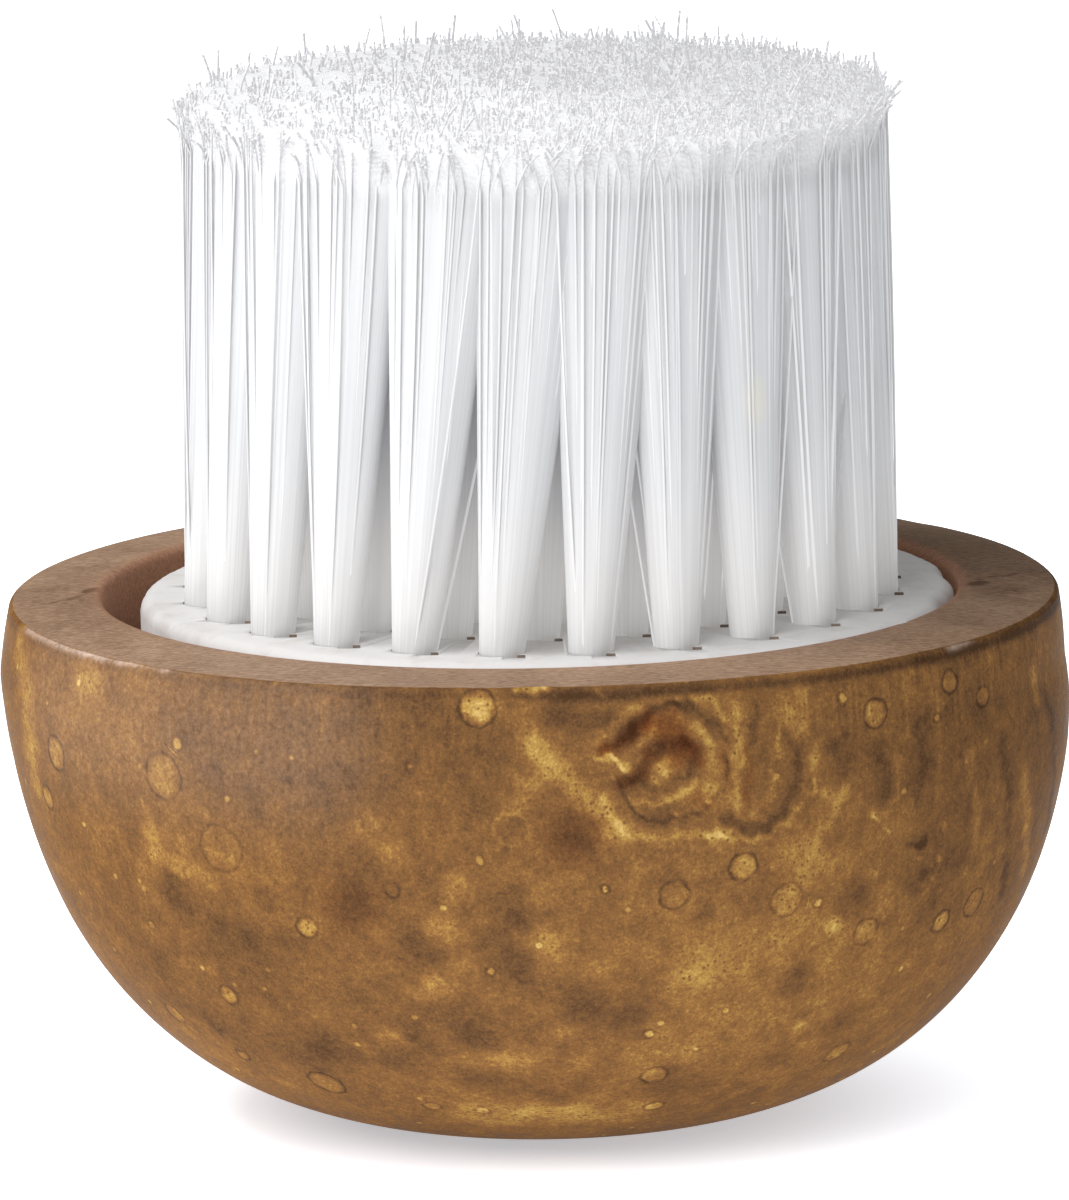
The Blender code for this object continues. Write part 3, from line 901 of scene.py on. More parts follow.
# %% Drawing the marks
OUTLINE_WANDER = (0.42,) * 3
OUTLINE_LUMP, OUTLINE_WIDTH = 0.8, 0.17
BREAKS = (0.35, 0.55, 0.35, 1.0)
shaken = add(tree, "ShaderNodeTexNoise", place, 1 / OUTLINE_LUMP, 2.0, 0.55, pick="Color")
shaken = add(tree, VECTOR, shaken, (0.5,) * 3, operation="SUBTRACT")
mark_way = add(tree, "ShaderNodeAttribute", pick="Vector", attribute_name="mark_way")
way = add(tree, VECTOR, shaken, OUTLINE_WANDER, mark_way, operation="MULTIPLY_ADD")
far = add(tree, VECTOR, way, operation="LENGTH")
edge = add(tree, MATH, far, size, operation="SUBTRACT")
depth = add(tree, MATH, size, -0.45, operation="MULTIPLY")
inside = add(tree, "ShaderNodeMapRange", edge, depth, 0.0, 1.0, 0.0, **SMOOTH)
off_line = add(tree, MATH, edge, operation="ABSOLUTE")
on_line = add(tree, "ShaderNodeMapRange", off_line, 0.01, OUTLINE_WIDTH, 1.0, 0.0, **SMOOTH)
broken = add(tree, "ShaderNodeTexNoise", place, 1 / 0.9, 2.0, 0.55)
broken = add(tree, "ShaderNodeMapRange", broken, *BREAKS, **SMOOTH)
on_line = add(tree, MATH, on_line, broken, operation="MULTIPLY")
middle = add(tree, MATH, inside, lighter, operation="MULTIPLY")
outline = add(tree, MATH, on_line, outlined, operation="MULTIPLY")
drawn = add(tree, MATH, middle, outline, operation="SUBTRACT")
light = add(tree, MATH, drawn, near, light, operation="MULTIPLY_ADD")

# %% [markdown]
# Pores are cells of a Voronoi pattern, and only the ochre shows them. The resin specks are a few
# cells of a coarser one, chosen by the cell's own random colour. The stain's colours go from dark
# brown to ochre. Where it has turned red-brown they are multiplied, and where an edge is rubbed the
# bare wood shows through, more on the grain's high spots. The same pale colour is laid on the upper
# left as a painted sheen of the left light.

# %% Pores, specks and colours
PORE_SPACING, SPECK_SPACING = 0.42, 1.7
PORE_EDGE, SPECK_EDGE = (0.10, 0.32), (0.07, 0.15)  # in shares of the spacing
OCHRE, CHOSEN_CELLS = (0.50, 0.68), (0.72, 0.80)
PORE_SHARE, SPECK_SHARE = 0.30, 0.30
RED_SHARE, RUBBED_AND_SHEEN_SHARE = 0.62, 1.7
STAIN_STEPS = (
    (0.00, "#46311F"),
    (0.22, "#5B412A"),
    (0.44, "#735130"),
    (0.60, "#886136"),
    (0.78, "#A27F42"),
    (1.00, "#C4A563"),
)


def set_steps(ramp, steps):
    """Gives a colour ramp, known by its output, its places and colours."""
    elements = ramp.node.color_ramp.elements
    while len(elements) < len(steps):
        elements.new(0.5)
    for element, (where, code) in zip(elements, steps):
        element.position = where
        element.color = linear(code)


def paled_by_wear_and_sheen(tree, colour, grain, worn, strength, code):
    """A colour, and a paler one over it on the grain: where it is worn, and where a painted highlight and
    sheen lie.
    """
    share = add(tree, MATH, grain, worn, operation="MULTIPLY")
    share = add(tree, MATH, share, strength, operation="MULTIPLY")
    return add(tree, "ShaderNodeMix", share, colour, code, data_type="RGBA")


pore_cells = add(tree, "ShaderNodeTexVoronoi", place, 1 / PORE_SPACING)
pores = add(tree, "ShaderNodeMapRange", pore_cells, *PORE_EDGE, 1.0, 0.0, **SMOOTH)
on_ochre = add(tree, "ShaderNodeMapRange", light, *OCHRE, **SMOOTH)
on_ochre = add(tree, MATH, on_ochre, PORE_SHARE, operation="MULTIPLY")
pores = add(tree, MATH, pores, on_ochre, operation="MULTIPLY")
light = add(tree, MATH, light, pores, operation="SUBTRACT")
speck_cells = add(tree, "ShaderNodeTexVoronoi", place, 1 / SPECK_SPACING)
chosen = add(tree, "ShaderNodeSeparateColor", speck_cells.node.outputs["Color"])
chosen = add(tree, "ShaderNodeMapRange", chosen, *CHOSEN_CELLS, **SMOOTH)
specks = add(tree, "ShaderNodeMapRange", speck_cells, *SPECK_EDGE, 1.0, 0.0, **SMOOTH)
specks = add(tree, MATH, specks, chosen, operation="MULTIPLY")
light = add(tree, MATH, specks, SPECK_SHARE, light, operation="MULTIPLY_ADD")

colour = add(tree, "ShaderNodeValToRGB", light)
set_steps(colour, STAIN_STEPS)
reddened = add(tree, MATH, red_here, RED_SHARE, operation="MULTIPLY")
redder = add(tree, "ShaderNodeMix", 1.0, colour, "#D08C6C", data_type="RGBA", blend_type="MULTIPLY")
colour = add(tree, "ShaderNodeMix", reddened, colour, redder, data_type="RGBA")
# Pale where worn, and pale as a painted sheen at the upper left.
colour = paled_by_wear_and_sheen(tree, colour, layers["grain"], wear_and_highlight_here, RUBBED_AND_SHEEN_SHARE, "#C9B3A4")
print(len(tree.nodes), "nodes so far")

# %% [markdown]
# The bump raises the marks' middles, the specks and the pebbles under the lacquer, and sinks the
# outlines and the pores. The lacquer's roughness follows the patches.

# %% Lacquered surface
PEBBLE_SIZE = 0.9
RELIEF = {"middle": 0.5, "outline": -0.8, "specks": 0.7, "pores": -1.6, "pebbles": 0.8}
raised = add(tree, MATH, inside, RELIEF["middle"], operation="MULTIPLY")
raised = add(tree, MATH, on_line, RELIEF["outline"], raised, operation="MULTIPLY_ADD")
raised = add(tree, MATH, raised, near, operation="MULTIPLY")
pebbles = add(tree, "ShaderNodeTexNoise", place, 1 / PEBBLE_SIZE, 2.0, 0.55)
for name, relief in (("specks", specks), ("pores", pores), ("pebbles", pebbles)):
    raised = add(tree, MATH, relief, RELIEF[name], raised, operation="MULTIPLY_ADD")
finish_material(
    tree,
    Base_Color=colour,
    Roughness=add(tree, "ShaderNodeMapRange", layers["patches"], 0.3, 0.7, 0.36, 0.50, **SMOOTH),
    Normal=add(tree, "ShaderNodeBump", Strength=0.45, Distance=0.10 * MM, Height=raised),
    IOR=1.5,
    Specular_IOR_Level=0.003,
)
print(len(tree.nodes), "nodes in the cap's material")

# %% [markdown]
# ## Turned rim
# The rim's face is cut across the root, so fibres show there as short level streaks about 0.8 mm
# long, and the same stain looks greyer and pinker. The inner lip and the recess wall drank more
# stain and are dark red-brown, and the outer edge is rubbed pale, with a painted highlight along
# its lit left part. The pit with its crease, and the face's right where the bristles' shadow
# falls, are darkened as painted shade.

# %% Rim material
RIM_STEPS = ((0.10, "#624939"), (0.50, "#937760"), (0.95, "#B89E86"))
LEVEL = (0.40, 1.0, 1.0)  # squeezes the noise, so that its lumps lie level and long
RIM_LAYERS = (  # size of a lump in millimetres, roughness, weight in the tone
    ("fibre", 0.22, 0.65, 0.9),
    ("clouds", 5.0, 0.55, 0.5),
    ("grain", 0.30, 0.70, 0.35),
)
# Painted shade in the pit and over the face's right; the pit is also sunk by the bump.
PIT_SHADE_STRENGTH, PIT_DEPTH = 0.8, 3.0
rim_material, tree, place = new_material("Turned end grain of the root")
pits_and_shade, at_lip, wear_and_highlight_here = [
    add(tree, "ShaderNodeAttribute", pick="Fac", attribute_name=name) for name in ("rim_dark", "lip", "worn")
]
level = add(tree, VECTOR, place, LEVEL, operation="MULTIPLY")
tone = 0.5
for name, lump, roughness, weight in RIM_LAYERS:
    spot = level if name == "fibre" else place
    layers[name] = add(tree, "ShaderNodeTexNoise", spot, 1 / lump, 2.0, roughness)
    tone = weigh(tree, layers[name], weight, tone)
painted_rim_shade = add(tree, MATH, pits_and_shade, PIT_SHADE_STRENGTH, operation="MULTIPLY")
tone = add(tree, MATH, tone, painted_rim_shade, operation="SUBTRACT")
colour = add(tree, "ShaderNodeValToRGB", tone)
set_steps(colour, RIM_STEPS)
lip_tone = add(tree, "ShaderNodeMix", layers["fibre"], "#79523E", "#B88C71", data_type="RGBA")
colour = add(tree, "ShaderNodeMix", at_lip, colour, lip_tone, data_type="RGBA")
groove = add(tree, MATH, pits_and_shade, -PIT_DEPTH, layers["fibre"], operation="MULTIPLY_ADD")
finish_material(
    tree,
    # Pale where the edge is worn, and paler as a painted highlight along its lit left part.
    Base_Color=paled_by_wear_and_sheen(tree, colour, layers["grain"], wear_and_highlight_here, 1.8, "#D2BFB4"),
    Roughness=add(tree, "ShaderNodeMapRange", layers["clouds"], 0.3, 0.7, 0.42, 0.55, **SMOOTH),
    Normal=add(tree, "ShaderNodeBump", Strength=0.5, Distance=0.06 * MM, Height=groove),
    IOR=1.5,
    Specular_IOR_Level=0.02,
)
cap_mesh.materials.append(cap_material)
cap_mesh.materials.append(rim_material)
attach(cap, "root")
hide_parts("cap_body")
print(len(tree.nodes), "nodes in the rim's material")

# %% [markdown]
# ## Geometry Nodes helper
# A tree built by the script is hung on a mesh with a modifier. Its inputs are set by identifier
# before the first evaluation, and the result is taken as a plain mesh, so that nothing is live.

# %% Grown pieces


def grow(name, tree, start_mesh, values):
    """A plain object with what the tree makes from the start mesh."""
    made = bpy.data.objects.new(name, start_mesh)
    scene.collection.objects.link(made)
    step = made.modifiers.new("tree", "NODES")
    step.node_group = tree
    for item in tree.interface.items_tree:
        if item.item_type == "SOCKET" and item.in_out == "INPUT" and item.name in values:
            step[item.identifier] = values[item.name]
    graph = bpy.context.evaluated_depsgraph_get()
    result = bpy.data.meshes.new_from_object(made.evaluated_get(graph), depsgraph=graph)
    made.modifiers.clear()
    made.data = result
    result.name = name
    return made


def new_tree(name, inputs):
    """An empty Geometry Nodes tree with a geometry and named sizes as its inputs."""
    tree = bpy.data.node_groups.new(name, "GeometryNodeTree")
    tree.interface.new_socket("Geometry", in_out="INPUT", socket_type="NodeSocketGeometry")
    for input_name, kind, value in inputs:
        socket = tree.interface.new_socket(input_name, in_out="INPUT", socket_type=kind)
        if value is not None:
            socket.default_value = value
    tree.interface.new_socket("Geometry", in_out="OUTPUT", socket_type="NodeSocketGeometry")
    return tree, tree.nodes.new("NodeGroupInput").outputs


def ring_places(ring):
    """The middles of the holes in a ring, at the plate's top. Ring 0 is the single middle hole."""
    count = max(1, 6 * ring)
    start = OUTER_START + RING_TWIST * (RING_COUNT - ring)
    for hole in range(count):
        angle = start + 2 * math.pi * hole / count
        x = pattern_centre.x + RING_PITCH * ring * math.sin(angle)
        y = pattern_centre.y - RING_PITCH * ring * math.cos(angle)
        yield Vector((x, y, PLATE_TOP))


for seen, made in zip(outer_places, ring_places(RING_COUNT)):
    assert (seen.xy - made.xy).length < 0.05 * MM, "the hole pattern no longer matches the frame"
print(sum(len(list(ring_places(ring))) for ring in range(RING_COUNT + 1)), "holes")

# %% [markdown]
# ## The tuft plate
# The plate is a moulded disc of white plastic with a soft edge. It was trimmed by hand to fit, so
# at the right its edge is chipped and flash lies over the rim's inner lip. The edge is a table of
# angle and reach, read off the photograph.

# %% Plate disc
PLATE_RADIUS = 23.0 * MM
PLATE_OFF_CENTRE = 0.65 * MM
PLATE_EDGE = 0.80 * MM
PLATE_STEPS = 400
plate_bottom = plate_low.z
PLATE_REACH = (  # angle from the front in degrees, reach in millimetres
    (-180.0, 22.95),
    (-140.0, 23.05),
    (-120.0, 22.90),
    (-90.0, 23.00),
    (-60.0, 22.95),
    (0.0, 23.00),
    (22.0, 23.10),
    (27.0, 24.20),
    (32.0, 24.30),
    (38.5, 24.30),
    (45.9, 24.20),
    (52.4, 24.05),
    (55.5, 24.00),
    (57.5, 24.50),
    (59.9, 24.00),
    (66.7, 23.40),
    (71.4, 23.26),
    (74.5, 22.95),
    (78.6, 22.65),
    (82.0, 22.80),
    (90.4, 23.03),
    (97.0, 22.75),
    (104.0, 23.10),
    (130.0, 22.90),
    (180.0, 22.95),
)
PROUD = ((20.0, 0.0), (30.0, 0.14), (52.0, 0.16), (60.0, 0.10), (72.0, 0.0))
plate_angles = np.linspace(-math.pi, math.pi, PLATE_STEPS, endpoint=False)
edge_low = (PLATE_RADIUS - PLATE_EDGE, PLATE_TOP - PLATE_EDGE)
plate_outline = [(PLATE_RADIUS * share, plate_bottom) for share in (0.5, 0.98)]
plate_outline += [(PLATE_RADIUS, plate_bottom + 0.2 * MM), (PLATE_RADIUS, PLATE_TOP - 3 * MM)]
plate_outline += list(arc(edge_low, PLATE_EDGE, 0, 90, 8))
plate_outline += [(PLATE_RADIUS * share, PLATE_TOP) for share in (0.95, 0.90, 0.5)]
plate_mesh = turned_mesh("plate", plate_outline[::-1], plate_angles)
plate_points = read_points(plate_mesh)
plate_radii = np.hypot(plate_points[:, 0], plate_points[:, 1])
plate_turns = np.degrees(np.arctan2(plate_points[:, 0], -plate_points[:, 1]))
chance = random.Random(11)
ragged = np.array([chance.uniform(-0.04, 0.04) for _ in range(PLATE_STEPS)])
ragged = ragged[np.round((plate_turns + 180) / 360 * PLATE_STEPS).astype(int) % PLATE_STEPS]
upper_half = np.clip((plate_points[:, 2] - PLATE_TOP + 1.6 * MM) / (0.6 * MM), 0.0, 1.0)
reach = np.interp(plate_turns, *zip(*PLATE_REACH)) + ragged
reach = PLATE_RADIUS + (reach * MM - PLATE_RADIUS) * np.where(reach * MM > PLATE_RADIUS, upper_half, 1.0)
near_edge = np.clip((plate_radii / PLATE_RADIUS - 0.88) / 0.08, 0.0, 1.0)
stretch = 1 + (reach / PLATE_RADIUS - 1) * near_edge
plate_points[:, 0] = plate_points[:, 0] * stretch + PLATE_OFF_CENTRE
plate_points[:, 1] *= stretch
lift = np.interp(plate_turns, *zip(*PROUD), left=0.0, right=0.0) * MM
plate_points[:, 2] += lift * near_edge * upper_half
write_points(plate_mesh, plate_points)
print("plate reaches, mm:", (plate_points.min(0) / MM).round(2), (plate_points.max(0) / MM).round(2))

# %% [markdown]
# Each tuft is folded over a flat wire and punched into its hole. One end of the wire tears a short
# slot beside the hole, which shows as a small brown fleck. Geometry Nodes suit this: instances of
# one cutter on the hole pattern, taken away from the disc, make all of the holes and slots at once.

# %% Hole tree
HOLE_INPUTS = (
    ("Ring Pitch", "NodeSocketFloat", RING_PITCH),
    ("Ring Start", "NodeSocketFloat", OUTER_START),
    ("Ring Twist", "NodeSocketFloat", RING_TWIST),
    ("Middle", "NodeSocketVector", None),
    ("Hole Radius", "NodeSocketFloat", 1.22 * MM),
    ("Hole Depth", "NodeSocketFloat", 1.6 * MM),
    ("Slot Length", "NodeSocketFloat", 1.25 * MM),
    ("Slot Width", "NodeSocketFloat", 0.85 * MM),
    ("Hole Wall", "NodeSocketMaterial", None),
)
SLOT_RIGHT, SLOT_FORWARD = 0.80 * MM, 1.22 * MM
HOLE_SIDES = 20


def hole_tree():
    tree, given = new_tree("tuft holes", HOLE_INPUTS)
    put = partial(add, tree)
    rings = [put("GeometryNodePoints", 1)]
    for ring in range(1, RING_COUNT + 1):
        radius = put(MATH, given["Ring Pitch"], float(ring), operation="MULTIPLY")
        circle = put("GeometryNodeMeshCircle", 6 * ring, radius)
        twist = (given["Ring Twist"], float(RING_COUNT - ring), given["Ring Start"])
        turn = put(MATH, *twist, operation="MULTIPLY_ADD")
        turn = put(MATH, turn, math.pi / 2, operation="SUBTRACT")
        turn = put("ShaderNodeCombineXYZ", Z=turn)
        rings.append(put("GeometryNodeTransform", circle, Rotation=turn))
    spots = put("GeometryNodeJoinGeometry", rings)
    spots = put("GeometryNodeTransform", spots, given["Middle"])
    depth = put(MATH, given["Hole Depth"], 2.0, operation="MULTIPLY")
    drill = put("GeometryNodeMeshCylinder", HOLE_SIDES, Radius=given["Hole Radius"], Depth=depth)
    slot = put("ShaderNodeCombineXYZ", given["Slot Length"], given["Slot Width"], depth)
    slot = put("GeometryNodeMeshCube", slot)
    slot = put("GeometryNodeTransform", slot, put("ShaderNodeCombineXYZ", SLOT_RIGHT, -SLOT_FORWARD))
    cut = given["Geometry"]
    for shape in (drill, slot):
        copies = put("GeometryNodeInstanceOnPoints", spots, Instance=shape)
        copies = put("GeometryNodeRealizeInstances", copies)
        copies = put("GeometryNodeSetMaterial", copies, Material=given["Hole Wall"])
        cut = put("GeometryNodeMeshBoolean", cut, copies, operation="DIFFERENCE", solver="EXACT")
    put("NodeGroupOutput", put("GeometryNodeRealizeInstances", cut))
    return tree


HOLES = hole_tree()
print(len(HOLES.nodes), "nodes in the tree of the holes")

# %% [markdown]
# ## White moulded plastic
# The plate is polypropylene or a like plastic: white, dull, and slightly clear. A very faint
# painted glow all over stands in for the light that passes through it into the tufts' shade. Dust
# from the trimming and old water marks leave it grainy and warm grey in places. The walls of the
# holes and slots are stained brown by rust and glue, and darker still as painted shade.

# %% Plate materials
plastic, tree, place = new_material("White moulded polypropylene")
smudge = add(tree, "ShaderNodeTexNoise", place, 1 / 2.5, 3.0, 0.55)
smudge = add(tree, "ShaderNodeMapRange", smudge, 0.46, 0.72, 0.0, 0.45, **SMOOTH)
grain = add(tree, "ShaderNodeTexNoise", place, 1 / 0.3, 2.0, 0.7)
smudge = weigh(tree, grain, 0.55, smudge)
scuffs = add(tree, "ShaderNodeTexNoise", place, 1 / 0.5, 3.0, 0.55)
finish_material(
    tree,
    Base_Color=add(tree, "ShaderNodeMix", smudge, "#C8C6C5", "#ADA7A1", data_type="RGBA"),
    Roughness=0.5,
    Normal=add(tree, "ShaderNodeBump", Strength=0.3, Distance=0.05 * MM, Height=scuffs),
    IOR=1.49,
    Specular_IOR_Level=0.3,
    # Painted glow, for light that passes through the plastic into the tufts' shade.
    Emission_Color="#FFFCF8",
    Emission_Strength=0.08,
)

# The hole walls are rust and glue brown, and darker still as painted shade inside the holes.
hole_wall, tree, place = new_material("Stained hole wall with painted shade")
stain_and_light = add(tree, "ShaderNodeTexNoise", place, 1 / 0.4, 2.0, 0.55)
tone = add(tree, "ShaderNodeMix", stain_and_light, "#6E5A49", "#B3A598", data_type="RGBA")
finish_material(tree, Base_Color=tone, Roughness=0.7)

plate_mesh.materials.append(plastic)
hole_values = {"Middle": Vector((pattern_centre.x, pattern_centre.y, PLATE_TOP)), "Hole Wall": hole_wall}
plate = grow("tuft_plate_disc", HOLES, plate_mesh, hole_values)
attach(plate, "root")
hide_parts("tuft_plate")
print("plate:", len(plate.data.polygons), "faces,", [made.name for made in plate.data.materials])

# %% [markdown]
# ## Nylon filament
# A filament is drawn nylon under 0.2 mm thick: white, slightly clear, with a soft sheen. Light
# passes from filament to filament, so a tuft looks soft, with almost no dark between them. Real
# scattering inside thousands of thin tubes renders slowly and too dark here, so three things stand
# in for it: a faint painted glow, stronger at the clear ends and low down between the roots, a
# surface that is shaded as if it faced out from the whole tuft, and fine streaks that fan out with
# the tuft. The streaks follow a place inside the bundle that each point carries up with it. On top,
# the cut ends of the filaments that aren't made show as dots 0.24 mm apart, with painted shade
# between them, where the glow is dimmer. Two small smudges at the right were left by use.

# %% Nylon colour
SMUDGES = ((757, 405, 1.1, 0.35, "#E6DCB4"), (803, 368, 0.40, 0.8, "#8E7C66"))
SMUDGE_SHAPE = (1.0, 0.35, 0.45)
FRONT_OF_TUFTS = -17.0 * MM
STREAK_WIDTH = 0.11
TUFT_STEP = 3.7  # how far apart two tufts' streaks lie in the noise
ALONG_FAN = (1.2, 1.2, 0.0)
CUT_END_SPACING = 0.24


def at_depth(x, y, depth):
    """The place on a pixel's ray that lies at a given Y, in millimetres."""
    way = ray_through(x, y)
    return (camera.location + way * ((depth - camera.location.y) / way.y)) / MM


nylon, tree, place = new_material("White drawn nylon filament")
NYLON_VALUES = ("shade", "tuft", "rise", "thin")
shade, tuft, rise, thin = [
    add(tree, "ShaderNodeAttribute", pick="Fac", attribute_name=name) for name in NYLON_VALUES
]
outwards = add(tree, "ShaderNodeAttribute", pick="Vector", attribute_name="outwards")
own_tuft = add(tree, MATH, tuft, TUFT_STEP, operation="MULTIPLY")
own_tuft = add(tree, "ShaderNodeCombineXYZ", Z=own_tuft)
fan = add(tree, VECTOR, outwards, ALONG_FAN, own_tuft, operation="MULTIPLY_ADD")
streaks = add(tree, "ShaderNodeTexNoise", fan, 1 / STREAK_WIDTH, 1.0, 0.55)
tone = add(tree, "ShaderNodeMix", weigh(tree, streaks, 0.6, shade), "#A8A9AC", "#DCDCDB", data_type="RGBA")
for x, y, reach, strength, code in SMUDGES:
    away = add(tree, VECTOR, place, at_depth(x, y, FRONT_OF_TUFTS), operation="SUBTRACT")
    away = add(tree, VECTOR, away, SMUDGE_SHAPE, operation="MULTIPLY")
    away = add(tree, VECTOR, away, operation="LENGTH")
    on_it = add(tree, "ShaderNodeMapRange", away, 0.2 * reach, reach, strength, 0.0, **SMOOTH)
    tone = add(tree, "ShaderNodeMix", on_it, tone, code, data_type="RGBA")
at_tip = add(tree, "ShaderNodeMapRange", rise, 0.88, 0.97, **SMOOTH)
tip_share = add(tree, MATH, thin, 0.7, 0.65, operation="MULTIPLY_ADD")
at_tip = add(tree, MATH, at_tip, tip_share, operation="MULTIPLY")
clear = add(tree, MATH, at_tip, thin, operation="MAXIMUM")
# Where the painted glow is strong the colour is darker, so the glow takes the place of lit colour.
tone = add(tree, "ShaderNodeMix", clear, tone, "#A4A4A4", data_type="RGBA")
ends = add(tree, "ShaderNodeTexVoronoi", place, 1 / CUT_END_SPACING)
ends = add(tree, "ShaderNodeMapRange", ends, 0.15, 0.75, 1.0, 0.0, **SMOOTH)
on_top = add(tree, MATH, at_tip, thin, operation="SUBTRACT")
on_top = add(tree, MATH, on_top, 0.0, operation="MAXIMUM")
cut = add(tree, MATH, ends, on_top, operation="MULTIPLY")
# Painted shade: the gaps between the cut ends get a dimmer glow below.
gap = add(tree, MATH, on_top, cut, operation="SUBTRACT")
print(len(tree.nodes), "nodes so far")

# %% [markdown]
# The shading normal is mostly the stored way that the soft tuft faces, and the bump of the cut ends
# is laid over it. The painted glow is three tones, one after the other: low down, at the clear
# ends, and a dimmer one in the gaps between the cut ends, which is painted shade.

# %% Nylon surface and glow
NORMAL_SHARE = 0.88
across = add(tree, "ShaderNodeNewGeometry", pick="Normal")
soft = add(tree, "ShaderNodeAttribute", pick="Vector", attribute_name="facing")
facing = add(tree, "ShaderNodeMix", NORMAL_SHARE, across, soft, data_type="VECTOR")
facing = add(tree, VECTOR, facing, operation="NORMALIZE")
# The painted glow stands in for light passed between filaments.
low_down = add(tree, "ShaderNodeMapRange", rise, 0.1, 0.5, 1.0, 0.0, **SMOOTH)
painted_glow = add(tree, "ShaderNodeMix", low_down, "#555557", "#858381", data_type="RGBA")
painted_glow = add(tree, "ShaderNodeMix", clear, painted_glow, "#D4D4D6", data_type="RGBA")
painted_glow = add(tree, "ShaderNodeMix", gap, painted_glow, "#B0B0B3", data_type="RGBA")
finish_material(
    tree,
    Base_Color=tone,
    Normal=add(tree, "ShaderNodeBump", Strength=0.3, Distance=0.12 * MM, Height=cut, Normal=facing),
    Roughness=0.55,
    IOR=1.53,
    Specular_IOR_Level=0.15,
    Emission_Color=painted_glow,
    Emission_Strength=1.0,
)
print(len(tree.nodes), "nodes in the nylon")

# %% [markdown]
# ## Tufts
# A tuft is a bundle of some 120 filaments, packed tight in its hole, that fans out above it until
# it meets its neighbours. Geometry Nodes suit this: each tuft's point is copied once for each
# filament, a straight line stands on each copy, and its points are then moved between a root spot
# and a tip spot. The cut ends are worn, hooked and now and then split, so the last two millimetres
# bend aside. Each tuft also gets a smooth tapered body, nearly as wide as the bundle, for the many
# filaments that nobody can tell apart.

# %% Filament sizes
FILAMENT_INPUTS = (
    ("Filaments", "NodeSocketInt", 118),
    ("Filament Radius", "NodeSocketFloat", 0.078 * MM),
    ("Root Radius", "NodeSocketFloat", 1.08 * MM),
    ("Root Sink", "NodeSocketFloat", 1.2 * MM),
    ("Tip Radius", "NodeSocketFloat", 3.15 * MM),
    ("Trim Height", "NodeSocketFloat", TRIM_HEIGHT),
    ("Trim Slope", "NodeSocketFloat", math.tan(math.radians(0.6))),
    ("Raggedness", "NodeSocketFloat", 0.6 * MM),
    ("Brush Radius", "NodeSocketFloat", 20.3 * MM),
    ("Clump Size", "NodeSocketFloat", 0.9 * MM),
    ("Clumping", "NodeSocketFloat", 0.9 * MM),
    ("Hook", "NodeSocketFloat", 1.5 * MM),
    ("Split Share", "NodeSocketFloat", 0.25),
    ("Body Share", "NodeSocketFloat", 1.09),
    ("Body Height", "NodeSocketFloat", 0.982),
    ("Seed", "NodeSocketInt", 3),
    ("Nylon", "NodeSocketMaterial", None),
)
GOLDEN_ANGLE = math.pi * (3 - math.sqrt(5))
LINE_POINTS = 10
THIN_SHARE = 0.5
TUFT_NUMBERS = 4096.0  # a filament's number is its tuft's times this, plus its own in the tuft
TWIN_GAP = 0.06 * MM
WANDER, STRAYING, BOW = 0.2 * MM, 2.8 * MM, 0.15 * MM
STRAY_CHANCE, LONG_CHANCE = 0.05, 0.035
LONG_LEAST, LONG_MOST = 0.3 * MM, 1.4 * MM
HELD_FROM, HELD_BACK = 0.93, 0.62  # the outline starts to act at this share, and pulls this much
EARLY_OPENING, EARLY_POINTS = 1.12, 2.2
FRAYED_FROM, FRAYING = 0.92, 1.4
CLUMP_MIDDLE = (0.5, 0.5, 0.5)
TUBE_SIDES = 4
BODY_SIDES, BODY_SEGMENTS, BODY_RINGS = 20, 8, 6
DOME_DROP, DOME_ROUGHNESS, DOME_LUMP = 0.35 * MM, 1.0 * MM, 0.9 * MM
BODY_HELD_IN = 0.972
SIDEWAYS = (1.0, 1.0, 0.0)
STORE, NAMED = "GeometryNodeStoreNamedAttribute", "GeometryNodeInputNamedAttribute"
IS_VECTOR, IS_WHOLE = {"data_type": "FLOAT_VECTOR"}, {"data_type": "INT"}
middle_of_brush = tuple(pattern_centre)
print(FILAMENT_INPUTS[0][2], "filaments in a tuft")

# %% [markdown]
# Three small rules serve the filaments and the bodies alike: how far out a tip may stand, the path
# from the root to the tip, and where the soft surface faces.

# %% Rules for a tuft


def early(put, up, power):
    """Runs ahead of up: one, less what is left of the way to a power."""
    left = put(MATH, 1.0, up, operation="SUBTRACT")
    left = put(MATH, left, power, operation="POWER")
    return put(MATH, 1.0, left, operation="SUBTRACT")


def held_in(put, tip, brush_radius, share):
    """Pulls a tip that stands too far out back to the brush's trimmed outline."""
    flat = put(VECTOR, tip, middle_of_brush, operation="SUBTRACT")
    flat = put(VECTOR, flat, SIDEWAYS, operation="MULTIPLY")
    reach = put(VECTOR, flat, operation="LENGTH")
    limit = put(MATH, brush_radius, share, operation="MULTIPLY")
    soft_limit = put(MATH, limit, HELD_FROM, operation="MULTIPLY")
    beyond = put(MATH, reach, soft_limit, operation="SUBTRACT")
    beyond = put(MATH, beyond, 0.0, operation="MAXIMUM")
    held = put(MATH, beyond, -HELD_BACK, reach, operation="MULTIPLY_ADD")
    held = put(MATH, held, limit, operation="MINIMUM")
    reach = put(MATH, reach, 1e-6, operation="MAXIMUM")
    flat = put(VECTOR, flat, put(MATH, held, reach, operation="DIVIDE"), operation="SCALE")
    return put(VECTOR, flat, (pattern_centre.x, pattern_centre.y, 0.0), operation="ADD")


def between(put, root, tip, up):
    """A place at a share of the way up, on a path that opens out early."""
    opened = early(put, up, EARLY_OPENING)
    pace = put("ShaderNodeCombineXYZ", opened, opened, up)
    way = put(VECTOR, tip, root, operation="SUBTRACT")
    return put(VECTOR, way, pace, root, operation="MULTIPLY_ADD")


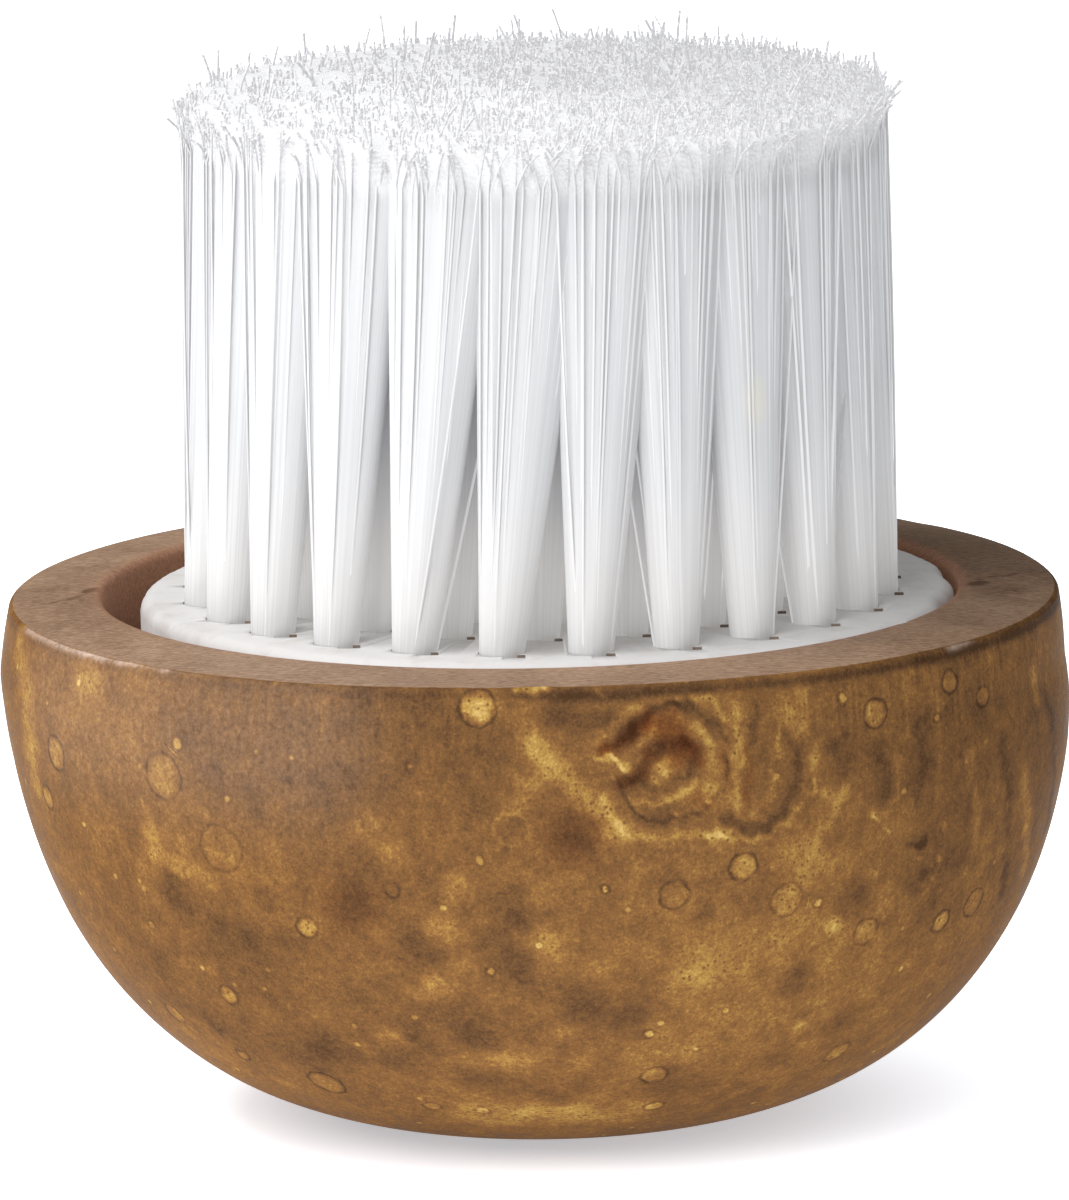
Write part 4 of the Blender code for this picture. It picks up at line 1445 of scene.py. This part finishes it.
def facing_at(put, top):
    """Where the soft surface faces: out from the tuft, then out from the brush, and up at the top."""
    up = put(NAMED, "rise")
    from_middle = put(VECTOR, put("GeometryNodeInputPosition"), middle_of_brush, operation="SUBTRACT")
    from_middle = put(VECTOR, from_middle, SIDEWAYS, operation="MULTIPLY")
    tuft_share = put(MATH, 1.1, up, operation="SUBTRACT")
    brush_share = put(MATH, up, 0.8, operation="MULTIPLY")
    parts = []
    for way, share in ((put(NAMED, "outwards", **IS_VECTOR), tuft_share), (from_middle, brush_share)):
        way = put(VECTOR, way, operation="NORMALIZE")
        parts.append(put(VECTOR, way, share, operation="SCALE"))
    facing = put(VECTOR, *parts, operation="ADD")
    upwards = put("ShaderNodeMapRange", up, top, 1.0, 0.25, 2.5)
    facing = put(VECTOR, facing, put("ShaderNodeCombineXYZ", Z=upwards), operation="ADD")
    return put(VECTOR, facing, operation="NORMALIZE")


# %% [markdown]
# Each tuft's point is copied once for each filament, in a sunflower pattern. Some neighbours in
# number share one path but for their ends: together they are one filament with a split end. Other
# neighbours lean the same way, so the tuft opens in clumps with gaps between. The trim is level
# but for a slight slope, and a few filaments stand above it.

# %% Roots and tips


def roots_and_tips(put, given, spots):
    """A point for each filament on the tufts' spots, which carries where its root and tip are."""
    copies = put("GeometryNodeDuplicateElements", spots, Amount=given["Filaments"], domain="POINT")
    index = copies.node.outputs["Duplicate Index"]

    def numbered(copies, name, within):
        """Stores a filament's number, from its number in its tuft."""
        whole = put(MATH, put(NAMED, "tuft", **IS_WHOLE), TUFT_NUMBERS, within, operation="MULTIPLY_ADD")
        return put(STORE, copies, Name=name, Value=whole, **IS_WHOLE)

    def chance_of(low, high, draw, owner="own"):
        """A random value for each owner: a pair of filaments, a filament, or one end of a split one."""
        kind = "FLOAT_VECTOR" if isinstance(low, tuple) else "FLOAT"
        seed = put(MATH, given["Seed"], float(draw), operation="ADD")
        owner = put(NAMED, owner, **IS_WHOLE)
        return put("FunctionNodeRandomValue", low, high, owner, seed, data_type=kind)

    def sideways_chance(reach, draw):
        return chance_of((-reach, -reach, 0.0), (reach, reach, 0.0), draw)

    odd = put(MATH, index, 2.0, operation="MODULO")
    copies = numbered(copies, "pair", put(MATH, index, odd, operation="SUBTRACT"))
    split = put(MATH, chance_of(0.0, 1.0, 11, "pair"), given["Split Share"], operation="LESS_THAN")
    twin = put(MATH, odd, split, operation="MULTIPLY")
    shared = put(MATH, index, twin, operation="SUBTRACT")
    copies = numbered(copies, "own", shared)
    copies = numbered(copies, "end_of", index)
    out = put(MATH, shared, 0.5, operation="ADD")
    out = put(MATH, out, given["Filaments"], operation="DIVIDE")
    out = put(MATH, out, operation="SQRT")
    turn = put(MATH, shared, GOLDEN_ANGLE, operation="MULTIPLY")
    right, back = [put(MATH, turn, operation=side) for side in ("COSINE", "SINE")]
    spread = put(VECTOR, put("ShaderNodeCombineXYZ", right, back), out, operation="SCALE")
    beside = put("ShaderNodeCombineXYZ", put(MATH, twin, TWIN_GAP, operation="MULTIPLY"))
    root = put(VECTOR, put("GeometryNodeInputPosition"), beside, operation="ADD")
    root = put(VECTOR, root, put(VECTOR, spread, given["Root Radius"], operation="SCALE"), operation="ADD")

    lumps = put(MATH, 1.0, given["Clump Size"], operation="DIVIDE")
    clump = put("ShaderNodeTexNoise", root, lumps, 1.0, pick="Color")
    clump = put(VECTOR, clump, CLUMP_MIDDLE, operation="SUBTRACT")
    clump = put(VECTOR, clump, SIDEWAYS, operation="MULTIPLY")
    clump = put(VECTOR, clump, given["Clumping"], operation="SCALE")
    strays = put(MATH, chance_of(0.0, 1.0, 3), STRAY_CHANCE, operation="LESS_THAN")
    strays = put(VECTOR, sideways_chance(STRAYING, 2), strays, operation="SCALE")
    tip = put(VECTOR, spread, given["Tip Radius"], operation="SCALE")
    tip = put(VECTOR, put(NAMED, "tip", **IS_VECTOR), tip, operation="ADD")
    for part in (clump, sideways_chance(WANDER, 1), strays):
        tip = put(VECTOR, tip, part, operation="ADD")
    tip = held_in(put, tip, given["Brush Radius"], 1.0)

    level = put("ShaderNodeSeparateXYZ", tip, pick="X")
    level = put(MATH, level, given["Trim Slope"], given["Trim Height"], operation="MULTIPLY_ADD")
    short = put(MATH, chance_of(0.0, 1.0, 4), 1.5, operation="POWER")
    short = put(MATH, short, given["Raggedness"], operation="MULTIPLY")
    level = put(MATH, level, short, operation="SUBTRACT")
    long = put(MATH, chance_of(0.0, 1.0, 5), LONG_CHANCE, operation="LESS_THAN")
    level = put(MATH, chance_of(LONG_LEAST, LONG_MOST, 6), long, level, operation="MULTIPLY_ADD")
    tip = put(VECTOR, tip, put("ShaderNodeCombineXYZ", Z=level), operation="ADD")

    hook = chance_of((-1.0, -1.0, -0.8), (1.0, 1.0, 0.0), 7, "end_of")
    often = put(MATH, chance_of(0.0, 1.0, 8, "end_of"), 0.8, operation="POWER")
    hook = put(VECTOR, hook, often, operation="SCALE")
    hook = put(VECTOR, hook, given["Hook"], operation="SCALE")
    downwards = put(MATH, 1.0, long, operation="SUBTRACT")
    hook = put(VECTOR, hook, put("ShaderNodeCombineXYZ", 1.0, 1.0, downwards), operation="MULTIPLY")
    sunk = put("ShaderNodeCombineXYZ", Z=given["Root Sink"])
    root = put(VECTOR, root, sunk, operation="SUBTRACT")
    carried = {"root": root, "end": tip, "hook": hook, "bow": sideways_chance(BOW, 9), "outwards": spread}
    for name, value in carried.items():
        copies = put(STORE, copies, Name=name, Value=value, **IS_VECTOR)
    copies = put(STORE, copies, Name="shade", Value=chance_of(0.25, 0.75, 10))
    return put("GeometryNodeSetPosition", copies, Position=put("ShaderNodeCombineXYZ"))


# %% [markdown]
# One upright line of unit height is bent to each filament's path, with its points closest at the
# tip. It bows a little in the middle, and its worn end is hooked. A ring swept along it makes the
# tube.

# %% Filaments


def filaments(put, given, copies):
    """A thin tube for each point, along the path that the point carries."""
    line = put("GeometryNodeCurvePrimitiveLine", End=(0.0, 0.0, 1.0))
    line = put("GeometryNodeResampleCurve", line, Count=LINE_POINTS)
    lines = put("GeometryNodeInstanceOnPoints", copies, Instance=line)
    lines = put("GeometryNodeRealizeInstances", lines)
    up = put("ShaderNodeSeparateXYZ", put("GeometryNodeInputPosition"), pick="Z")
    up = early(put, up, EARLY_POINTS)
    spot = between(put, put(NAMED, "root", **IS_VECTOR), put(NAMED, "end", **IS_VECTOR), up)
    bowed = put(MATH, put(MATH, up, math.pi, operation="MULTIPLY"), operation="SINE")
    frayed = put("ShaderNodeMapRange", up, FRAYED_FROM, 1.0, 0.0, 1.0)
    frayed = put(MATH, frayed, FRAYING, operation="POWER")
    for name, share in (("bow", bowed), ("hook", frayed)):
        aside = put(VECTOR, put(NAMED, name, **IS_VECTOR), share, operation="SCALE")
        spot = put(VECTOR, spot, aside, operation="ADD")
    for name, value in (("rise", up), ("thin", THIN_SHARE)):
        lines = put(STORE, lines, Name=name, Value=value)
    lines = put("GeometryNodeSetPosition", lines, Position=spot)
    lines = put(STORE, lines, Name="facing", Value=facing_at(put, 0.90), **IS_VECTOR)
    ring = put("GeometryNodeCurvePrimitiveCircle", TUBE_SIDES, given["Filament Radius"])
    return put("GeometryNodeCurveToMesh", lines, ring, Fill_Caps=True)


# %% [markdown]
# The inner body is one unit cylinder for each tuft, bent and opened by the same rule. Its top is a
# low dome, rough in the same way as its neighbours', so that they meet without a step.

# %% Bodies and the whole tree


def bodies(put, given, spots):
    """The smooth tapered bodies of the tufts."""
    spots = put(STORE, spots, Name="middle", Value=put("GeometryNodeInputPosition"), **IS_VECTOR)
    spots = put(STORE, spots, Name="shade", Value=0.5)
    spots = put("GeometryNodeSetPosition", spots, Position=put("ShaderNodeCombineXYZ"))
    body = put("GeometryNodeMeshCylinder", BODY_SIDES, BODY_SEGMENTS, BODY_RINGS, 1.0, 1.0)
    made = put("GeometryNodeInstanceOnPoints", spots, Instance=body)
    made = put("GeometryNodeRealizeInstances", made)
    place = put("GeometryNodeInputPosition")
    around = put(VECTOR, place, SIDEWAYS, operation="MULTIPLY")
    around = put(VECTOR, around, given["Body Share"], operation="SCALE")
    up = put(MATH, put("ShaderNodeSeparateXYZ", place, pick="Z"), 0.5, operation="ADD")
    up = put(MATH, up, given["Body Height"], operation="MULTIPLY")
    ends = []
    for name, radius in (("middle", given["Root Radius"]), ("tip", given["Tip Radius"])):
        outwards = put(VECTOR, around, radius, operation="SCALE")
        ends.append(put(VECTOR, put(NAMED, name, **IS_VECTOR), outwards, operation="ADD"))
    sunk = put("ShaderNodeCombineXYZ", Z=given["Root Sink"])
    root = put(VECTOR, ends[0], sunk, operation="SUBTRACT")
    tip = held_in(put, ends[1], given["Brush Radius"], BODY_HELD_IN)
    rough = put("ShaderNodeTexNoise", tip, 1 / DOME_LUMP, 1.0)
    rough = put(MATH, rough, 0.5, operation="SUBTRACT")
    trim = put(MATH, rough, DOME_ROUGHNESS, given["Trim Height"], operation="MULTIPLY_ADD")
    dome = put(VECTOR, around, around, operation="DOT_PRODUCT")
    trim = put(MATH, dome, -DOME_DROP, trim, operation="MULTIPLY_ADD")
    tip = put(VECTOR, tip, put("ShaderNodeCombineXYZ", Z=trim), operation="ADD")
    spot = between(put, root, tip, up)
    for name, value in (("rise", up), ("thin", 0.0)):
        made = put(STORE, made, Name=name, Value=value)
    made = put(STORE, made, Name="outwards", Value=around, **IS_VECTOR)
    made = put("GeometryNodeSetPosition", made, Position=spot)
    return put(STORE, made, Name="facing", Value=facing_at(put, 0.93), **IS_VECTOR)


def filament_tree():
    tree, given = new_tree("filaments", FILAMENT_INPUTS)
    put = partial(add, tree)
    spots = put("GeometryNodeMeshToPoints", given["Geometry"])
    tubes = filaments(put, given, roots_and_tips(put, given, spots))
    whole = put("GeometryNodeJoinGeometry", [tubes, bodies(put, given, spots)])
    whole = put("GeometryNodeSetShadeSmooth", whole, Shade_Smooth=True)
    whole = put("GeometryNodeRealizeInstances", whole)
    put("NodeGroupOutput", put("GeometryNodeSetMaterial", whole, Material=given["Nylon"]))
    return tree


FILAMENTS = filament_tree()
print(len(FILAMENTS.nodes), "nodes in the tree of the filaments")

# %% [markdown]
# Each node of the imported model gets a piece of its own: the 24 outer tufts one each, and the rings
# of inner tufts one each. A tuft's tip leans a little inwards and to the right, and a few of the
# front ones lean further, as the photograph shows.

# %% Tufts
TIP_SHARE = 0.95
BRISTLE_LEAN = 0.4 * MM
LEANING = {  # how much further the front tufts lean, in millimetres
    "outer_tuft_23": 0.5,
    "outer_tuft_24": 1.6,
    "outer_tuft_01": 2.0,
    "outer_tuft_02": 1.4,
    "outer_tuft_03": 0.5,
}


def tuft_piece(name, places, lean, first):
    """The filaments of the tufts that stand at some places, as one piece."""
    mesh = bpy.data.meshes.new(name)
    mesh.from_pydata(places, [], [])
    mesh.attributes.new("tip", "FLOAT_VECTOR", "POINT")
    mesh.attributes.new("tuft", "INT", "POINT")
    for number, spot in enumerate(places):
        inwards = pattern_centre + (spot - pattern_centre) * TIP_SHARE
        mesh.attributes["tip"].data[number].vector = (inwards.x + lean, inwards.y, 0.0)
        mesh.attributes["tuft"].data[number].value = first + number
    made = grow(name, FILAMENTS, mesh, {"Nylon": nylon})
    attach(made, "root")
    return made


tuft_number = 0
for name, spot in zip(OUTER_TUFTS, ring_places(RING_COUNT)):
    made = tuft_piece(f"{name}_filaments", [spot], BRISTLE_LEAN + LEANING.get(name, 0.0) * MM, tuft_number)
    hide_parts(name)
    tuft_number += 1
print("one outer tuft:", sum(len(face.vertices) - 2 for face in made.data.polygons), "triangles")
for name, rings in (("ring_3_tufts", [3]), ("ring_2_tufts", [2]), ("centre_tufts", [0, 1])):
    places = [spot for ring in rings for spot in ring_places(ring)]
    made = tuft_piece(f"{name}_filaments", places, BRISTLE_LEAN, tuft_number)
    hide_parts(name)
    tuft_number += len(places)
    print(name, sum(len(face.vertices) - 2 for face in made.data.polygons), "triangles")

# %% [markdown]
# ## Anchors and adhesive
# The flat-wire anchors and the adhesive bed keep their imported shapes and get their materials: flat
# steel wire, dull with rust at its cut ends, and set adhesive, cloudy yellow with tiny bubbles.

# %% Anchor and adhesive materials
wire, tree, place = new_material("Rusted flat steel wire")
rust = add(tree, "ShaderNodeTexNoise", place, 1 / 0.6, 3.0, 0.55)
tone = add(tree, "ShaderNodeMix", rust, "#7C7771", "#514539", data_type="RGBA")
dullness = add(tree, "ShaderNodeMapRange", rust, 0.35, 0.65, 0.35, 0.65, **SMOOTH)
finish_material(tree, Base_Color=tone, Roughness=dullness, Metallic=0.5)

glue, tree, place = new_material("Set adhesive")
cloudy = add(tree, "ShaderNodeTexNoise", place, 1 / 2.0, 3.0, 0.55)
tone = add(tree, "ShaderNodeMix", cloudy, "#C9BC9C", "#A8966E", data_type="RGBA")
bubbles = add(tree, "ShaderNodeTexVoronoi", place, 1 / 0.8)
bump = add(tree, "ShaderNodeBump", Strength=0.4, Distance=0.1 * MM, Height=bubbles)
finish_material(tree, Base_Color=tone, Roughness=0.4, Normal=bump)

for name in (*OUTER_ANCHORS, "adhesive_bed"):
    materials = NODES[name].data.materials
    materials.clear()
    materials.append(glue if name == "adhesive_bed" else wire)
print(len(OUTER_ANCHORS), "anchors")
